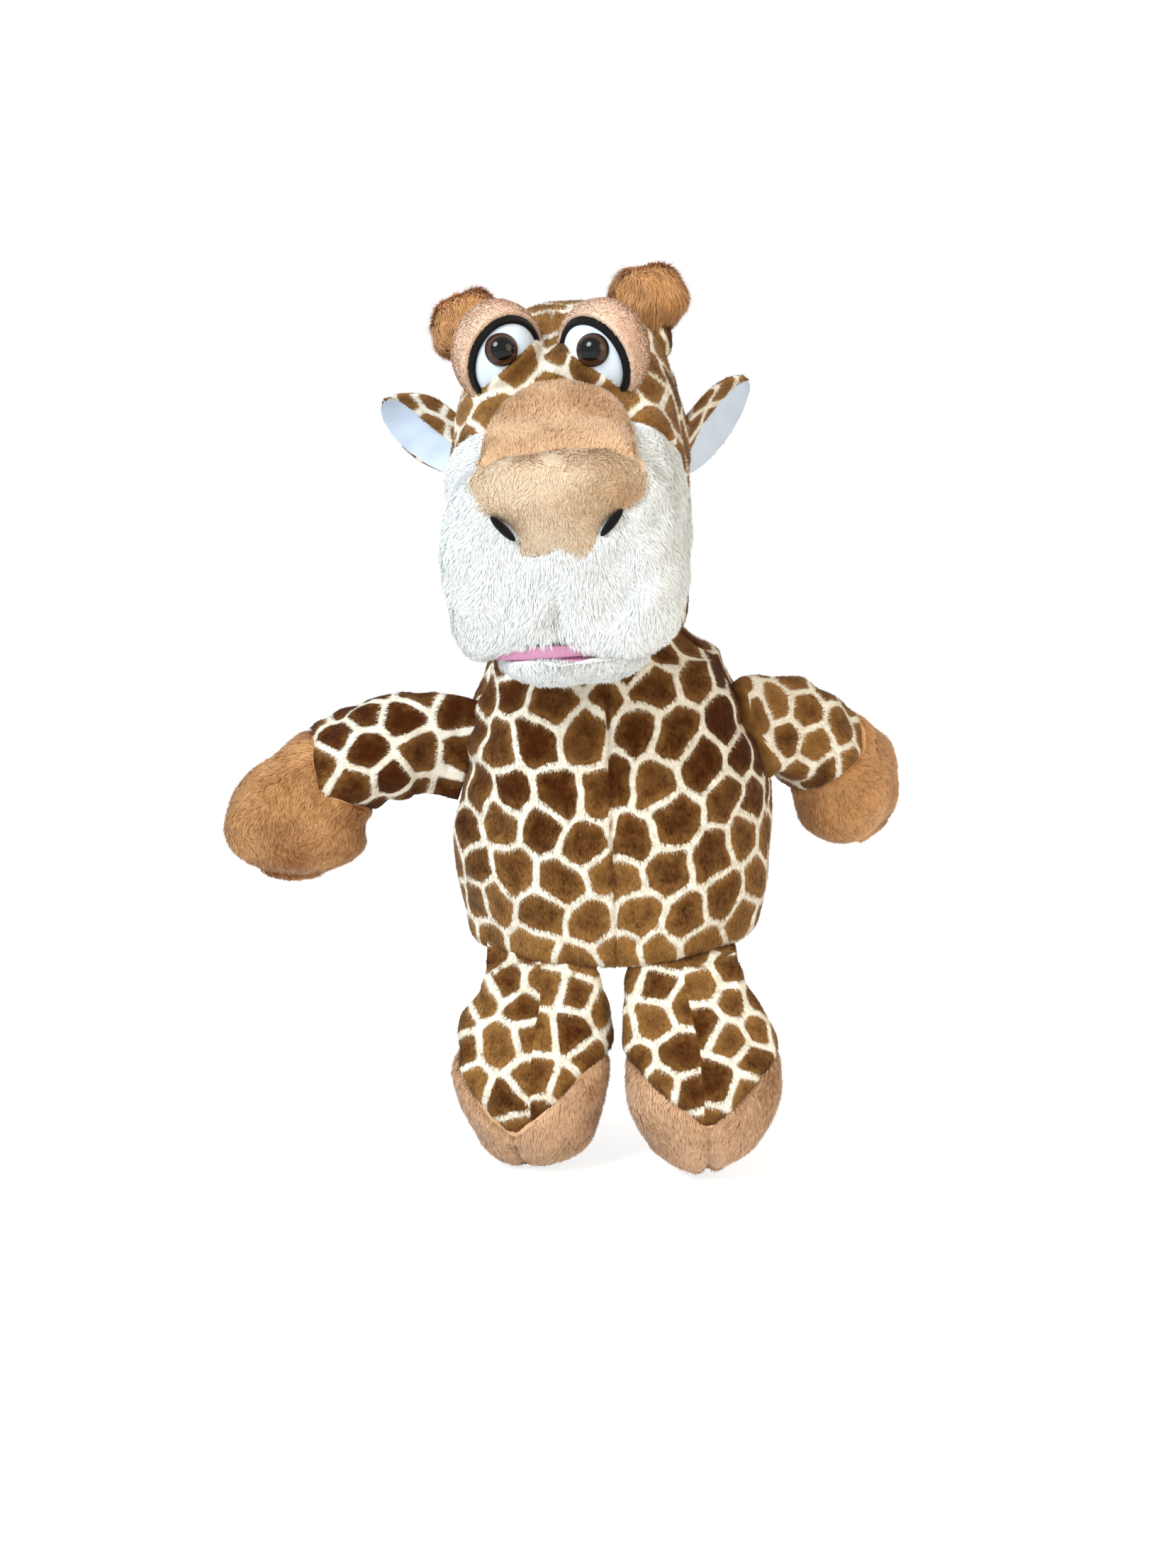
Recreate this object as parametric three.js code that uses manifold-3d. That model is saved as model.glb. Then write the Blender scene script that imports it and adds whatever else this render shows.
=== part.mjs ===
// Giraffe hand puppet: a plush glove body whose head, mouth, arms, legs, ears and horns move.
// Lengths are in millimetres and angles in degrees. The puppet faces -Y and +Z is up.
// The origin is the middle of the hand opening under the body.
import * as THREE from "three";
import { mergeVertices } from "three/addons/utils/BufferGeometryUtils.js";
import Module from "manifold-3d";

const wasm = await Module();
wasm.setup();

// Clearances
const SEAM_GAP = 0.3;
const MOVING_GAP = 0.45;
const KNUCKLE_GAP = 0.9;

// Cloth and filling
const COVER = 3;
const PADDING = 5.5;
const LINING = 1.2;
const LIMB_COVER = 2.5;

// Body
const BODY_LEAN = 2.5;
const HEM_WIDTH = 127;
const HEM_FRONT = 50;
const HEM_BACK = 46;
const HEM_BAND = 8;
const BELLY_HEIGHT = 50;
const BELLY_WIDTH = 141;
const BELLY_FRONT = 57;
const BELLY_BACK = 52;
const CHEST_HEIGHT = 106;
const CHEST_WIDTH = 118;
const CHEST_FRONT = 47.5;
const CHEST_BACK = 45;
const NECKLINE_HEIGHT = 125;
const NECKLINE_WIDTH = 102;
const NECKLINE_FRONT = 42;
const NECKLINE_BACK = 41;
const BODY_SQUARENESS = 2.25;
const SIDE_SEAM = -8;

// Neck, whose top is a round knuckle that the head nods on
const NECK_RISE = 25;
const NECK_SHIFT = 7.5;
const KNUCKLE_WIDTH = 88;
const KNUCKLE_RADIUS = 41;
const KNUCKLE_BELOW = 13;
const KNUCKLE_ABOVE = 18;
const THUMB_SLOT_WIDTH = 42;
const THUMB_SLOT_HEIGHT = 9;
const FINGER_SLOT_WIDTH = 62;
const FINGER_SLOT_SILL = -5;

// Head, measured from the middle of the knuckle
const HEAD_YAW = 4;
const HEAD_ROLL = 1;
const MUZZLE_REACH = 113;
const MUZZLE_WIDTH = 99;
const MUZZLE_TOP = 68;
const MUZZLE_ROUND = 17;
const MUZZLE_SQUARENESS = 3.6;
const CHEEK_SET = 28;
const CHEEK_RISE = 3;
const CHIN_DROP = 19;
const BRIDGE_REACH = 62;
const BRIDGE_TOP = 93;
const BROW_REACH = 30;
const BROW_TOP = 121;
const CROWN_WIDTH = 97;
const CROWN_TOP = 129;
const NAPE_REACH = 38;
const NAPE_WIDTH = 68;
const HEAD_BACK = 46;
const BACK_NARROWING = 20;
const BACK_DROP = 52;
const HEAD_RIM_FRONT = -4;
const HEAD_RIM_BACK = 6;
const CHEEK_SEAM_REACH = 12;
const CHEEK_SEAM_HEIGHT = 17;
const CHEEK_SEAM_SLOPE = 47;

// Mouth
const MOUTH_DROP = 11.7;
const MOUTH_GAP = 0.6;
const MOUTH_FOLD_REACH = 50;
const MOUTH_LINING = 1.4;
const MOUTH_BOARD = 1.5;
const JAW_REACH = 107.5;
const JAW_WIDTH = 62;
const JAW_FOLD_WIDTH = 56;
const JAW_LIP_WIDTH = 42;
const JAW_DEPTH = 13.5;
const JAW_FOLD_DEPTH = 13;
const JAW_LIP_DEPTH = 8;
const FINGER_WIDTH = 70;
const FINGER_HEIGHT = 31;
const FINGER_REACH = 97;
const THUMB_WIDTH = 30;
const THUMB_REACH = 90;
const THUMB_HEIGHT = 9;

// Nose
const NOSE_TOP = 69;
const NOSE_BOTTOM = 24;
const NOSE_TOP_WIDTH = 62;
const NOSE_WING_WIDTH = 70;
const NOSE_WING_HEIGHT = 55;
const NOSE_TIP_WIDTH = 30;
const NOSE_PUFF = 10;
const NOSTRIL_LENGTH = 15;
const NOSTRIL_WIDTH = 5;
const NOSTRIL_SPACING = 43;
const NOSTRIL_HEIGHT = 40;
const NOSTRIL_TILT = 40;
const BRIDGE_PANEL_WIDTH = 63;
const BRIDGE_PANEL_BOTTOM = 58;
const BRIDGE_PANEL_TOP = 94;
const BRIDGE_PANEL_THICKNESS = 3;

// Eyes
const EYE_SPACING = 43;
const EYE_SHIFT = -4;
const LEFT_EYE_HEIGHT = 107.5;
const RIGHT_EYE_HEIGHT = 105;
const EYE_RADIUS = 15.6;
const EYE_TALLER = 2.4;
const EYE_STAND = 8.5;
const LID_THICKNESS = 3.1;
const LID_OFFSET = -3.5;
const LID_TILT = 50;
const LID_LEAN = 48;
const LASH_WIDTH = 2.9;
const LASH_THICKNESS = 1.6;
const PUPIL_RADIUS = 6.8;
const PUPIL_HEIGHT = 4.2;
const PUPIL_SQUINT = 11.5;
const PUPIL_DROP = -4;
const STEM_RADIUS = 1.6;
const WASHER_RADIUS = 6;
const WASHER_THICKNESS = 2;

// Horns
const HORN_SPACING = 72;
const HORN_SHIFT = -1;
const HORN_REACH = 24;
const HORN_STEM_RADIUS = 9;
const HORN_STEM_LENGTH = 17;
const HORN_SINK = 0;
const KNOB_WIDTH = 37;
const KNOB_HEIGHT = 31;
const LEFT_HORN_LEAN = 22;
const LEFT_HORN_BACK = 25;
const RIGHT_HORN_LEAN = -3;
const RIGHT_HORN_BACK = 4;

// Ears
const LEFT_EAR_HEIGHT = 66;
const RIGHT_EAR_HEIGHT = 61;
const EAR_REACH = 2;
const EAR_LENGTH = 51;
const EAR_SINK = 9;
const EAR_WIDTH = 35;
const EAR_CUP = 8;
const EAR_COVER = 2.2;
const LEFT_EAR_RISE = 36;
const RIGHT_EAR_RISE = 44;
const LEFT_EAR_SWEEP = 0;
const RIGHT_EAR_SWEEP = 28;
const EAR_TURN = 38;
const EAR_GAP = 0.9;

// Arms
const LEFT_SHOULDER_HEIGHT = 88;
const RIGHT_SHOULDER_HEIGHT = 92;
const SHOULDER_TILT = 19;
const SHOULDER_SEAM = 45;
const SHOULDER_THICKNESS = 8;
const SHOULDER_SINK = 0.5;
const ARM_LENGTH = 103;
const ARM_TALL = 46;
const ARM_THICK = 42;
const ARM_CUFF = 61;
const ARM_CUFF_SLOPE = 24;
const ARM_HOOF_TALL = 62;
const ARM_HOOF_THICK = 46;
const LEFT_ARM_SWING = 5;
const LEFT_ARM_LIFT = -2;
const LEFT_ARM_BEND = 102;
const RIGHT_ARM_SWING = -60;
const RIGHT_ARM_LIFT = -12;
const RIGHT_ARM_BEND = 73;

// Legs
const LEG_SPACING = 61;
const HIP_SEAM = 47;
const HIP_THICKNESS = 8.6;
const HIP_SETBACK = 2;
const LEG_SHIFT = -2.5;
const LEG_LENGTH = 85;
const LEG_SPLAY = 6;
const LEG_WIDTH = 67;
const LEG_DEPTH = 46;
const LEG_WIDEST = 42;
const LEG_FORWARD = 9;
const HOOF_POINT = 62;
const HOOF_SLOPE = 40;
const LEFT_LEG_SWING = -12;
const RIGHT_LEG_SWING = 0;
const LEFT_FOOT_TURN = 22;
const RIGHT_FOOT_TURN = 4;

// Facets
const BODY_SIDES = 24;
const BODY_RINGS = 5;
const HEAD_SIDES = 28;
const HEAD_INNER_SIDES = 20;
const KNUCKLE_SIDES = 28;
const LIMB_SIDES = 16;
const INNER_SIDES = 12;

const FAR = 400;
const rad = THREE.MathUtils.degToRad;
const at = (x, y, z) => new THREE.Vector3(x, y, z);

// A closed geometry as a solid that can be joined and cut
function solidFrom(geometry) {
  const bare = new THREE.BufferGeometry();
  bare.setAttribute("position", geometry.getAttribute("position"));
  bare.setIndex(geometry.index);
  const merged = mergeVertices(bare, 1e-4);
  const index = merged.index.array;
  const corners = [];
  for (let i = 0; i < index.length; i += 3) {
    const [a, b, c] = [index[i], index[i + 1], index[i + 2]];
    if (a !== b && b !== c && c !== a) corners.push(a, b, c);
  }
  const vertProperties = new Float32Array(merged.attributes.position.array);
  const build = (list) =>
    new wasm.Manifold(new wasm.Mesh({ numProp: 3, vertProperties, triVerts: new Uint32Array(list) }));
  const made = build(corners);
  return made.volume() > 0 ? made : build(corners.reverse());
}

// A solid's surface as a geometry
function geometryFrom(solid) {
  const mesh = solid.getMesh();
  const geometry = new THREE.BufferGeometry();
  geometry.setAttribute("position", new THREE.BufferAttribute(new Float32Array(mesh.vertProperties), 3));
  geometry.setIndex(new THREE.BufferAttribute(new Uint32Array(mesh.triVerts), 1));
  geometry.computeVertexNormals();
  return geometry;
}

// The largest body of a cut solid
function largest(solid) {
  return solid.decompose().sort((a, b) => b.volume() - a.volume())[0];
}

function moved(solid, matrix) {
  return solid.transform(matrix.elements);
}

function placed(position, rotation) {
  const turn = new THREE.Quaternion().setFromEuler(rotation);
  return new THREE.Matrix4().compose(position, turn, at(1, 1, 1));
}

// A solid skinned over rings of points that run in the same order, closed by a fan at either end
function loft(rings) {
  const sides = rings[0].length;
  const points = rings.flat();
  const index = [];
  for (let r = 0; r < rings.length - 1; r++) {
    for (let i = 0; i < sides; i++) {
      const j = (i + 1) % sides;
      const [a, b] = [r * sides + i, r * sides + j];
      index.push(a, b, b + sides, a, b + sides, a + sides);
    }
  }
  const last = (rings.length - 1) * sides;
  const start = points.length;
  for (const ring of [rings[0], rings[rings.length - 1]]) {
    const middle = at(0, 0, 0);
    ring.forEach((p) => middle.addScaledVector(p, 1 / sides));
    points.push(middle);
  }
  for (let i = 0; i < sides; i++) {
    const j = (i + 1) % sides;
    index.push(j, i, start, last + i, last + j, start + 1);
  }
  const geometry = new THREE.BufferGeometry().setFromPoints(points);
  geometry.setIndex(index);
  return solidFrom(geometry);
}

// The outline of a soft section, between an ellipse at 2 and a box as squareness grows
function oval(sides, halfWidth, low, high, squareness) {
  const outline = [];
  for (let i = 0; i < sides; i++) {
    const angle = (2 * Math.PI * (i + 0.5)) / sides;
    const [c, s] = [Math.cos(angle), Math.sin(angle)];
    const u = halfWidth * Math.sign(c) * Math.abs(c) ** (2 / squareness);
    const v = (s < 0 ? low : high) * Math.sign(s) * Math.abs(s) ** (2 / squareness);
    outline.push([u, v]);
  }
  return outline;
}

// A smooth curve through stations, each a key followed by the values at that key
function smooth(stations) {
  const keys = stations.map((station) => station[0]);
  const columns = stations[0].length;
  const curve = new THREE.CubicInterpolant(keys, stations.flat(), columns, new Array(columns));
  return (key) => [...curve.evaluate(key)];
}

// Upright rings carried straight on past both ends, for a hole that goes right through
function extended(rings, past) {
  const copy = (ring, lift) => ring.map((p) => at(p.x, p.y, p.z + lift));
  return [copy(rings[0], -past), ...rings, copy(rings[rings.length - 1], past)];
}

function steps(from, to, count) {
  return Array.from({ length: count + 1 }, (_, i) => from + ((to - from) * i) / count);
}

function box(x0, x1, y0, y1, z0, z1) {
  const made = new THREE.BoxGeometry(x1 - x0, y1 - y0, z1 - z0);
  made.translate((x0 + x1) / 2, (y0 + y1) / 2, (z0 + z1) / 2);
  return solidFrom(made);
}

// An ellipsoid whose facets run round the X axis
function ellipsoid(rx, ry, rz, around = 16, along = 10) {
  const made = new THREE.SphereGeometry(1, around, along).rotateZ(Math.PI / 2);
  return solidFrom(made.scale(rx, ry, rz));
}

// A round bar along Z between two heights
function bar(radius, z0, z1, sides = 16) {
  const made = new THREE.CylinderGeometry(radius, radius, z1 - z0, sides);
  made.rotateX(Math.PI / 2).translate(0, 0, (z0 + z1) / 2);
  return solidFrom(made);
}

// An outline in X and Z pushed from front to back
function slab(outline, y0, y1) {
  const made = new THREE.ExtrudeGeometry(outline, { depth: y1 - y0, bevelEnabled: false, curveSegments: 8 });
  made.rotateX(Math.PI / 2).translate(0, y1, 0);
  return solidFrom(made);
}

const puppet = new THREE.Group();
puppet.name = "giraffe_hand_puppet";

function part(group, name, solid, colour, roughness, metalness = 0) {
  const material = new THREE.MeshStandardMaterial({ color: colour, roughness, metalness });
  const mesh = new THREE.Mesh(geometryFrom(solid), material);
  mesh.name = name;
  group.add(mesh);
}

const PRINT = 0x6b4220;
const CREAM = 0xf3ece0;
const TAN = 0xc98f55;
const PEACH = 0xe2bd93;
const LID_PEACH = 0xe6b08a;
const PINK = 0xe79ab4;
const BLACK = 0x15120f;
const FILLING = 0xeeeeea;
const BOARD = 0xd6cdb8;
const LINING_CLOTH = 0xd9cbb2;

// Where a ray from outside first meets a surface
function meet(geometry, from, direction) {
  const target = new THREE.Mesh(geometry, new THREE.MeshStandardMaterial({ side: THREE.DoubleSide }));
  const ray = new THREE.Raycaster(from, direction.clone().normalize());
  return ray.intersectObject(target)[0].point;
}

// Body shell: oval sections that swell to the belly and draw in to the hem and the neckline
const bodyAt = smooth([
  [0, HEM_WIDTH / 2, HEM_FRONT, HEM_BACK],
  [BELLY_HEIGHT, BELLY_WIDTH / 2, BELLY_FRONT, BELLY_BACK],
  [CHEST_HEIGHT, CHEST_WIDTH / 2, CHEST_FRONT, CHEST_BACK],
  [NECKLINE_HEIGHT, NECKLINE_WIDTH / 2, NECKLINE_FRONT, NECKLINE_BACK],
]);

function bodyForm(inset, rings, past = 0) {
  const form = steps(0, NECKLINE_HEIGHT, rings).map((z) => {
    const [, width, front, back] = bodyAt(z);
    const outline = oval(BODY_SIDES, width - inset, front - inset, back - inset, BODY_SQUARENESS);
    return outline.map(([x, y]) => at(x, y, z));
  });
  return loft(past ? extended(form, past) : form);
}

const torso = new THREE.Group();
torso.rotation.y = -rad(BODY_LEAN);
puppet.add(torso);

const paddingOut = COVER + SEAM_GAP;
const liningOut = paddingOut + PADDING + SEAM_GAP;
const bodyOuter = bodyForm(0, 10);
const bodySkin = geometryFrom(bodyOuter);

// The shoulders: each arm is sewn along a tilted seam and its flattened root rolls in a groove of the cover
function shoulder(side, height) {
  const root = meet(bodySkin, at(side * FAR, SIDE_SEAM, height), at(-side, 0, 0));
  const stand = SHOULDER_THICKNESS / 2 - SHOULDER_SINK + MOVING_GAP;
  const tilt = rad(SHOULDER_TILT);
  root.add(at(side * stand * Math.cos(tilt), 0, stand * Math.sin(tilt)));
  return placed(root, new THREE.Euler(0, -side * tilt, 0));
}
const shoulders = { left: shoulder(-1, LEFT_SHOULDER_HEIGHT), right: shoulder(1, RIGHT_SHOULDER_HEIGHT) };
const grooveHalf = SHOULDER_SEAM / 2 + 3;
const rootGroove = bar(SHOULDER_THICKNESS / 2 + MOVING_GAP, -grooveHalf, grooveHalf);
let bodyShell = bodyOuter.subtract(bodyForm(COVER, BODY_RINGS, 0.5));
for (const place of Object.values(shoulders)) bodyShell = bodyShell.subtract(moved(rootGroove, place));
const frontHalf = box(-FAR, FAR, -FAR, SIDE_SEAM - SEAM_GAP / 2, -FAR, FAR);
const backHalf = box(-FAR, FAR, SIDE_SEAM + SEAM_GAP / 2, FAR, -FAR, FAR);
const leftHalf = box(-FAR, -SEAM_GAP / 2, -FAR, FAR, -FAR, FAR);
const rightHalf = box(SEAM_GAP / 2, FAR, -FAR, FAR, -FAR, FAR);
part(torso, "body_front_left", largest(bodyShell.intersect(frontHalf).intersect(leftHalf)), PRINT, 0.95);
part(torso, "body_front_right", largest(bodyShell.intersect(frontHalf).intersect(rightHalf)), PRINT, 0.95);
part(torso, "body_back", largest(bodyShell.intersect(backHalf)), PRINT, 0.95);

const aboveHem = box(-FAR, FAR, -FAR, FAR, HEM_BAND + SEAM_GAP, FAR);
const belowHem = box(-FAR, FAR, -FAR, FAR, -FAR, HEM_BAND);
const liningHole = bodyForm(liningOut + LINING, BODY_RINGS, 0.5);
const paddingLayer = bodyForm(paddingOut, BODY_RINGS);
let padding = paddingLayer.subtract(bodyForm(paddingOut + PADDING, BODY_RINGS, 0.5)).intersect(aboveHem);
for (const place of Object.values(shoulders)) padding = padding.subtract(moved(rootGroove, place));
part(torso, "body_padding", largest(padding), FILLING, 1);
const handLining = bodyForm(liningOut, BODY_RINGS).subtract(liningHole).intersect(aboveHem);
part(torso, "hand_lining", handLining, LINING_CLOTH, 0.9);
part(torso, "hem_band", paddingLayer.subtract(liningHole).intersect(belowHem), PRINT, 0.95);

// The head's place on the neck
const headPlace = placed(
  at(-NECK_SHIFT, 0, NECKLINE_HEIGHT + NECK_RISE),
  new THREE.Euler(0, -rad(HEAD_ROLL), -rad(HEAD_YAW), "ZYX"),
);
const head = new THREE.Group();
head.applyMatrix4(headPlace);
torso.add(head);

// Neck: a flare from the neckline up into the knuckle
const knuckleHeight = NECKLINE_HEIGHT + NECK_RISE;
function neckForm(inset, past = 0) {
  const flareTop = knuckleHeight - KNUCKLE_BELOW;
  const flareBase = NECKLINE_HEIGHT + SEAM_GAP;
  const heights = [flareBase, (flareBase + flareTop) / 2];
  heights.push(...steps(flareTop, knuckleHeight + KNUCKLE_ABOVE, 4));
  const form = heights.map((z) => {
    const t = Math.min(1, (z - flareBase) / (flareTop - flareBase));
    const ease = Math.sin((t * Math.PI) / 2);
    const share = Math.sqrt(1 - (Math.max(z - knuckleHeight, -KNUCKLE_BELOW) / KNUCKLE_RADIUS) ** 2);
    const mix = (low, high) => THREE.MathUtils.lerp(low, high * share, ease) - inset;
    const width = mix(NECKLINE_WIDTH / 2, KNUCKLE_WIDTH / 2);
    const front = mix(NECKLINE_FRONT, KNUCKLE_RADIUS);
    const back = mix(NECKLINE_BACK, KNUCKLE_RADIUS);
    const outline = oval(BODY_SIDES, width, front, back, THREE.MathUtils.lerp(BODY_SQUARENESS, 2, ease));
    return outline.map(([x, y]) => at(x - NECK_SHIFT * t, y, z));
  });
  return loft(past ? extended(form, past) : form);
}
const thumbSlot = box(
  -NECK_SHIFT - THUMB_SLOT_WIDTH / 2,
  -NECK_SHIFT + THUMB_SLOT_WIDTH / 2,
  -FAR,
  0,
  NECKLINE_HEIGHT - 1,
  NECKLINE_HEIGHT + THUMB_SLOT_HEIGHT,
);
const fingerSlot = box(
  -NECK_SHIFT - FINGER_SLOT_WIDTH / 2,
  -NECK_SHIFT + FINGER_SLOT_WIDTH / 2,
  -FAR,
  0,
  knuckleHeight + FINGER_SLOT_SILL,
  FAR,
);
const handSlots = thumbSlot.add(fingerSlot);
const neckLiningOut = COVER + SEAM_GAP;
const neckCover = neckForm(0).subtract(neckForm(COVER, 0.5)).subtract(handSlots);
part(torso, "neck_cover", largest(neckCover), PRINT, 0.95);
const neckHole = neckForm(neckLiningOut + LINING, 0.5);
const neckLining = neckForm(neckLiningOut).subtract(neckHole).subtract(handSlots);
part(torso, "neck_lining", largest(neckLining), LINING_CLOTH, 0.9);

// Head: sections from the round muzzle over the bridge and the brow to the crown and the nape
const headAt = smooth([
  [-MUZZLE_REACH, MUZZLE_WIDTH / 2 - 1, -CHIN_DROP, MUZZLE_TOP - 2, MUZZLE_SQUARENESS],
  [-MUZZLE_REACH + CHEEK_SET, MUZZLE_WIDTH / 2, -CHIN_DROP, MUZZLE_TOP + CHEEK_RISE, MUZZLE_SQUARENESS],
  [-BRIDGE_REACH, MUZZLE_WIDTH / 2, -CHIN_DROP + 1, BRIDGE_TOP, 2.8],
  [-BROW_REACH, CROWN_WIDTH / 2, -8, BROW_TOP, 2.4],
  [0, CROWN_WIDTH / 2, 0, CROWN_TOP, 2.3],
  [20, CROWN_WIDTH / 2 - 3.5, 6, CROWN_TOP - 6, 2.2],
  [NAPE_REACH, NAPE_WIDTH / 2, 19, CROWN_TOP - 25, 2.1],
  [HEAD_BACK, NAPE_WIDTH / 2 - BACK_NARROWING, 45, CROWN_TOP - BACK_DROP, 2],
]);
const headStations = [
  ...[0, 0.12, 0.35, 0.76].map((t) => -MUZZLE_REACH + t * MUZZLE_ROUND),
  ...steps(-MUZZLE_REACH + 1.53 * MUZZLE_ROUND, NAPE_REACH, 9),
  HEAD_BACK,
];

function headForm(grow, sides, skip = 1) {
  const chosen = headStations.filter((_, i) => i % skip === 0 || i === headStations.length - 1);
  return loft(
    chosen.map((y) => {
      const [, width, bottom, top, squareness] = headAt(y);
      const t = (y + MUZZLE_REACH) / (HEAD_BACK + MUZZLE_REACH);
      const ahead = Math.max(0, 1 - (y + MUZZLE_REACH) / MUZZLE_ROUND);
      const round = MUZZLE_ROUND * (1 - Math.sqrt(1 - ahead * ahead));
      const half = (top - bottom) / 2 - round + grow;
      const middle = (top + bottom) / 2;
      const outline = oval(sides, width - round + grow, half, half, squareness);
      return outline.map(([x, z]) => at(x, y + grow * (2 * t - 1), middle + z));
    }),
  );
}

const headOuter = headForm(0, HEAD_SIDES);
const headClear = headForm(SEAM_GAP, HEAD_SIDES);
const headInner = headForm(-COVER, HEAD_INNER_SIDES, 2);
const headSkin = geometryFrom(headOuter);
const ballClear = ellipsoid(
  KNUCKLE_WIDTH / 2 + KNUCKLE_GAP,
  KNUCKLE_RADIUS + KNUCKLE_GAP,
  KNUCKLE_RADIUS + KNUCKLE_GAP,
  KNUCKLE_SIDES,
  10,
);
const mouthBack = -MOUTH_FOLD_REACH + 2;
const underRims = box(-FAR, FAR, mouthBack, 0, -FAR, HEAD_RIM_FRONT).add(
  box(-FAR, FAR, -1, FAR, -FAR, HEAD_RIM_BACK),
);
const underside = underRims.add(box(-FAR, FAR, -FAR, mouthBack + 0.01, -FAR, -MOUTH_DROP));

// The side of the seam that runs down each cheek from the bridge to the throat
function cheekSide(front) {
  const y = front ? SEAM_GAP / 2 : FAR + SEAM_GAP / 2;
  const made = new THREE.BoxGeometry(FAR * 2, FAR, FAR * 2);
  made.translate(0, y - (front ? FAR / 2 + SEAM_GAP : FAR / 2), 0);
  made.rotateX(rad(90 - CHEEK_SEAM_SLOPE));
  made.translate(0, -CHEEK_SEAM_REACH, CHEEK_SEAM_HEIGHT);
  return solidFrom(made);
}

const headShell = headOuter.subtract(headInner).subtract(underside).subtract(ballClear);

// Horns: a printed stem with a fluffy knob, rooted in a dimple of the crown
function hornPlace(side, lean, back) {
  const root = meet(headSkin, at((side * HORN_SPACING) / 2 + HORN_SHIFT, HORN_REACH, FAR), at(0, 0, -1));
  const turn = new THREE.Euler(-rad(back), side * rad(lean), 0, "YXZ");
  const stand = HORN_STEM_RADIUS - HORN_SINK + MOVING_GAP;
  root.add(at(0, 0, stand).applyEuler(turn));
  return placed(root, turn);
}
const horns = {
  left: hornPlace(-1, LEFT_HORN_LEAN, LEFT_HORN_BACK),
  right: hornPlace(1, RIGHT_HORN_LEAN, RIGHT_HORN_BACK),
};
const dimpleRadius = HORN_STEM_RADIUS + MOVING_GAP;
const hornDimple = ellipsoid(dimpleRadius, dimpleRadius, dimpleRadius, 14, 8).add(
  bar(dimpleRadius, 0, HORN_STEM_LENGTH, 14),
);
function dimpled(solid) {
  let made = solid;
  for (const place of Object.values(horns)) made = made.subtract(moved(hornDimple, place));
  return made;
}
const stemProfile = steps(0, 1, 4).map((t) => {
  const angle = (t * Math.PI) / 2;
  return new THREE.Vector2(HORN_STEM_RADIUS * Math.sin(angle), -HORN_STEM_RADIUS * Math.cos(angle));
});
stemProfile.push(new THREE.Vector2(HORN_STEM_RADIUS, HORN_STEM_LENGTH), new THREE.Vector2(0, HORN_STEM_LENGTH));
const hornStem = solidFrom(new THREE.LatheGeometry(stemProfile, 14).rotateX(Math.PI / 2));
const hornSocket = bar(HORN_STEM_RADIUS + SEAM_GAP, 0, HORN_STEM_LENGTH + SEAM_GAP, 14);
const knobMiddle = HORN_STEM_LENGTH + 2;
const hornKnob = moved(
  ellipsoid(KNOB_WIDTH / 2, KNOB_WIDTH / 2, KNOB_HEIGHT / 2, 14, 9),
  new THREE.Matrix4().makeTranslation(0, 0, knobMiddle),
).subtract(hornSocket);
for (const [side, place] of Object.entries(horns)) {
  const group = new THREE.Group();
  group.applyMatrix4(place);
  head.add(group);
  part(group, "horn_stem_" + side, hornStem, PRINT, 0.95);
  part(group, "horn_knob_" + side, hornKnob, TAN, 0.95);
}

part(head, "muzzle_cover", largest(headShell.intersect(cheekSide(true))), CREAM, 0.95);
part(head, "head_cover", largest(dimpled(headShell.intersect(cheekSide(false)))), PRINT, 0.95);

// Mouth: a lined board above the fold for the fingers and one in the jaw for the thumb
const roof = -MOUTH_DROP + MOUTH_LINING;
const boardLow = roof + SEAM_GAP;
const boardHigh = boardLow + MOUTH_BOARD;
const mouthFit = headForm(-COVER - SEAM_GAP, HEAD_INNER_SIDES, 2);
const aheadOfFold = (z0, z1) => box(-FAR, FAR, -FAR, -MOUTH_FOLD_REACH, z0, z1);
part(head, "upper_mouth_lining", mouthFit.intersect(aheadOfFold(-MOUTH_DROP, roof)), PINK, 0.9);
part(head, "upper_mouth_board", mouthFit.intersect(aheadOfFold(boardLow, boardHigh)), BOARD, 0.7);

const fingerFloor = boardHigh + SEAM_GAP;
function fingerForm(inset, back) {
  const rings = [-FINGER_REACH + inset, -FINGER_REACH + 5, -FINGER_REACH + 14, back].map((y, i) => {
    const shrink = inset + [6, 1.5, 0, 0][i];
    const half = FINGER_HEIGHT / 2 - shrink;
    const outline = oval(INNER_SIDES, FINGER_WIDTH / 2 - shrink, half, half, 3.6);
    return outline.map(([x, z]) => at(x, y, fingerFloor + FINGER_HEIGHT / 2 + z));
  });
  return loft(rings);
}
const fingerBack = -KNUCKLE_RADIUS / 2;
const fingerPocket = fingerForm(0, fingerBack).subtract(fingerForm(LINING, 0)).subtract(ballClear);
const pocketTrim = mouthFit.subtract(underRims);
part(head, "finger_pocket", largest(fingerPocket.intersect(pocketTrim)), LINING_CLOTH, 0.9);

const aboveBoard = box(-FAR, FAR, -FAR, mouthBack + 0.01, -FAR, fingerFloor);
const headStuffing = mouthFit
  .subtract(underRims)
  .subtract(aboveBoard)
  .subtract(ballClear)
  .subtract(fingerForm(-SEAM_GAP, 0));
part(head, "head_stuffing", largest(dimpled(headStuffing)), FILLING, 1);

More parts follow.
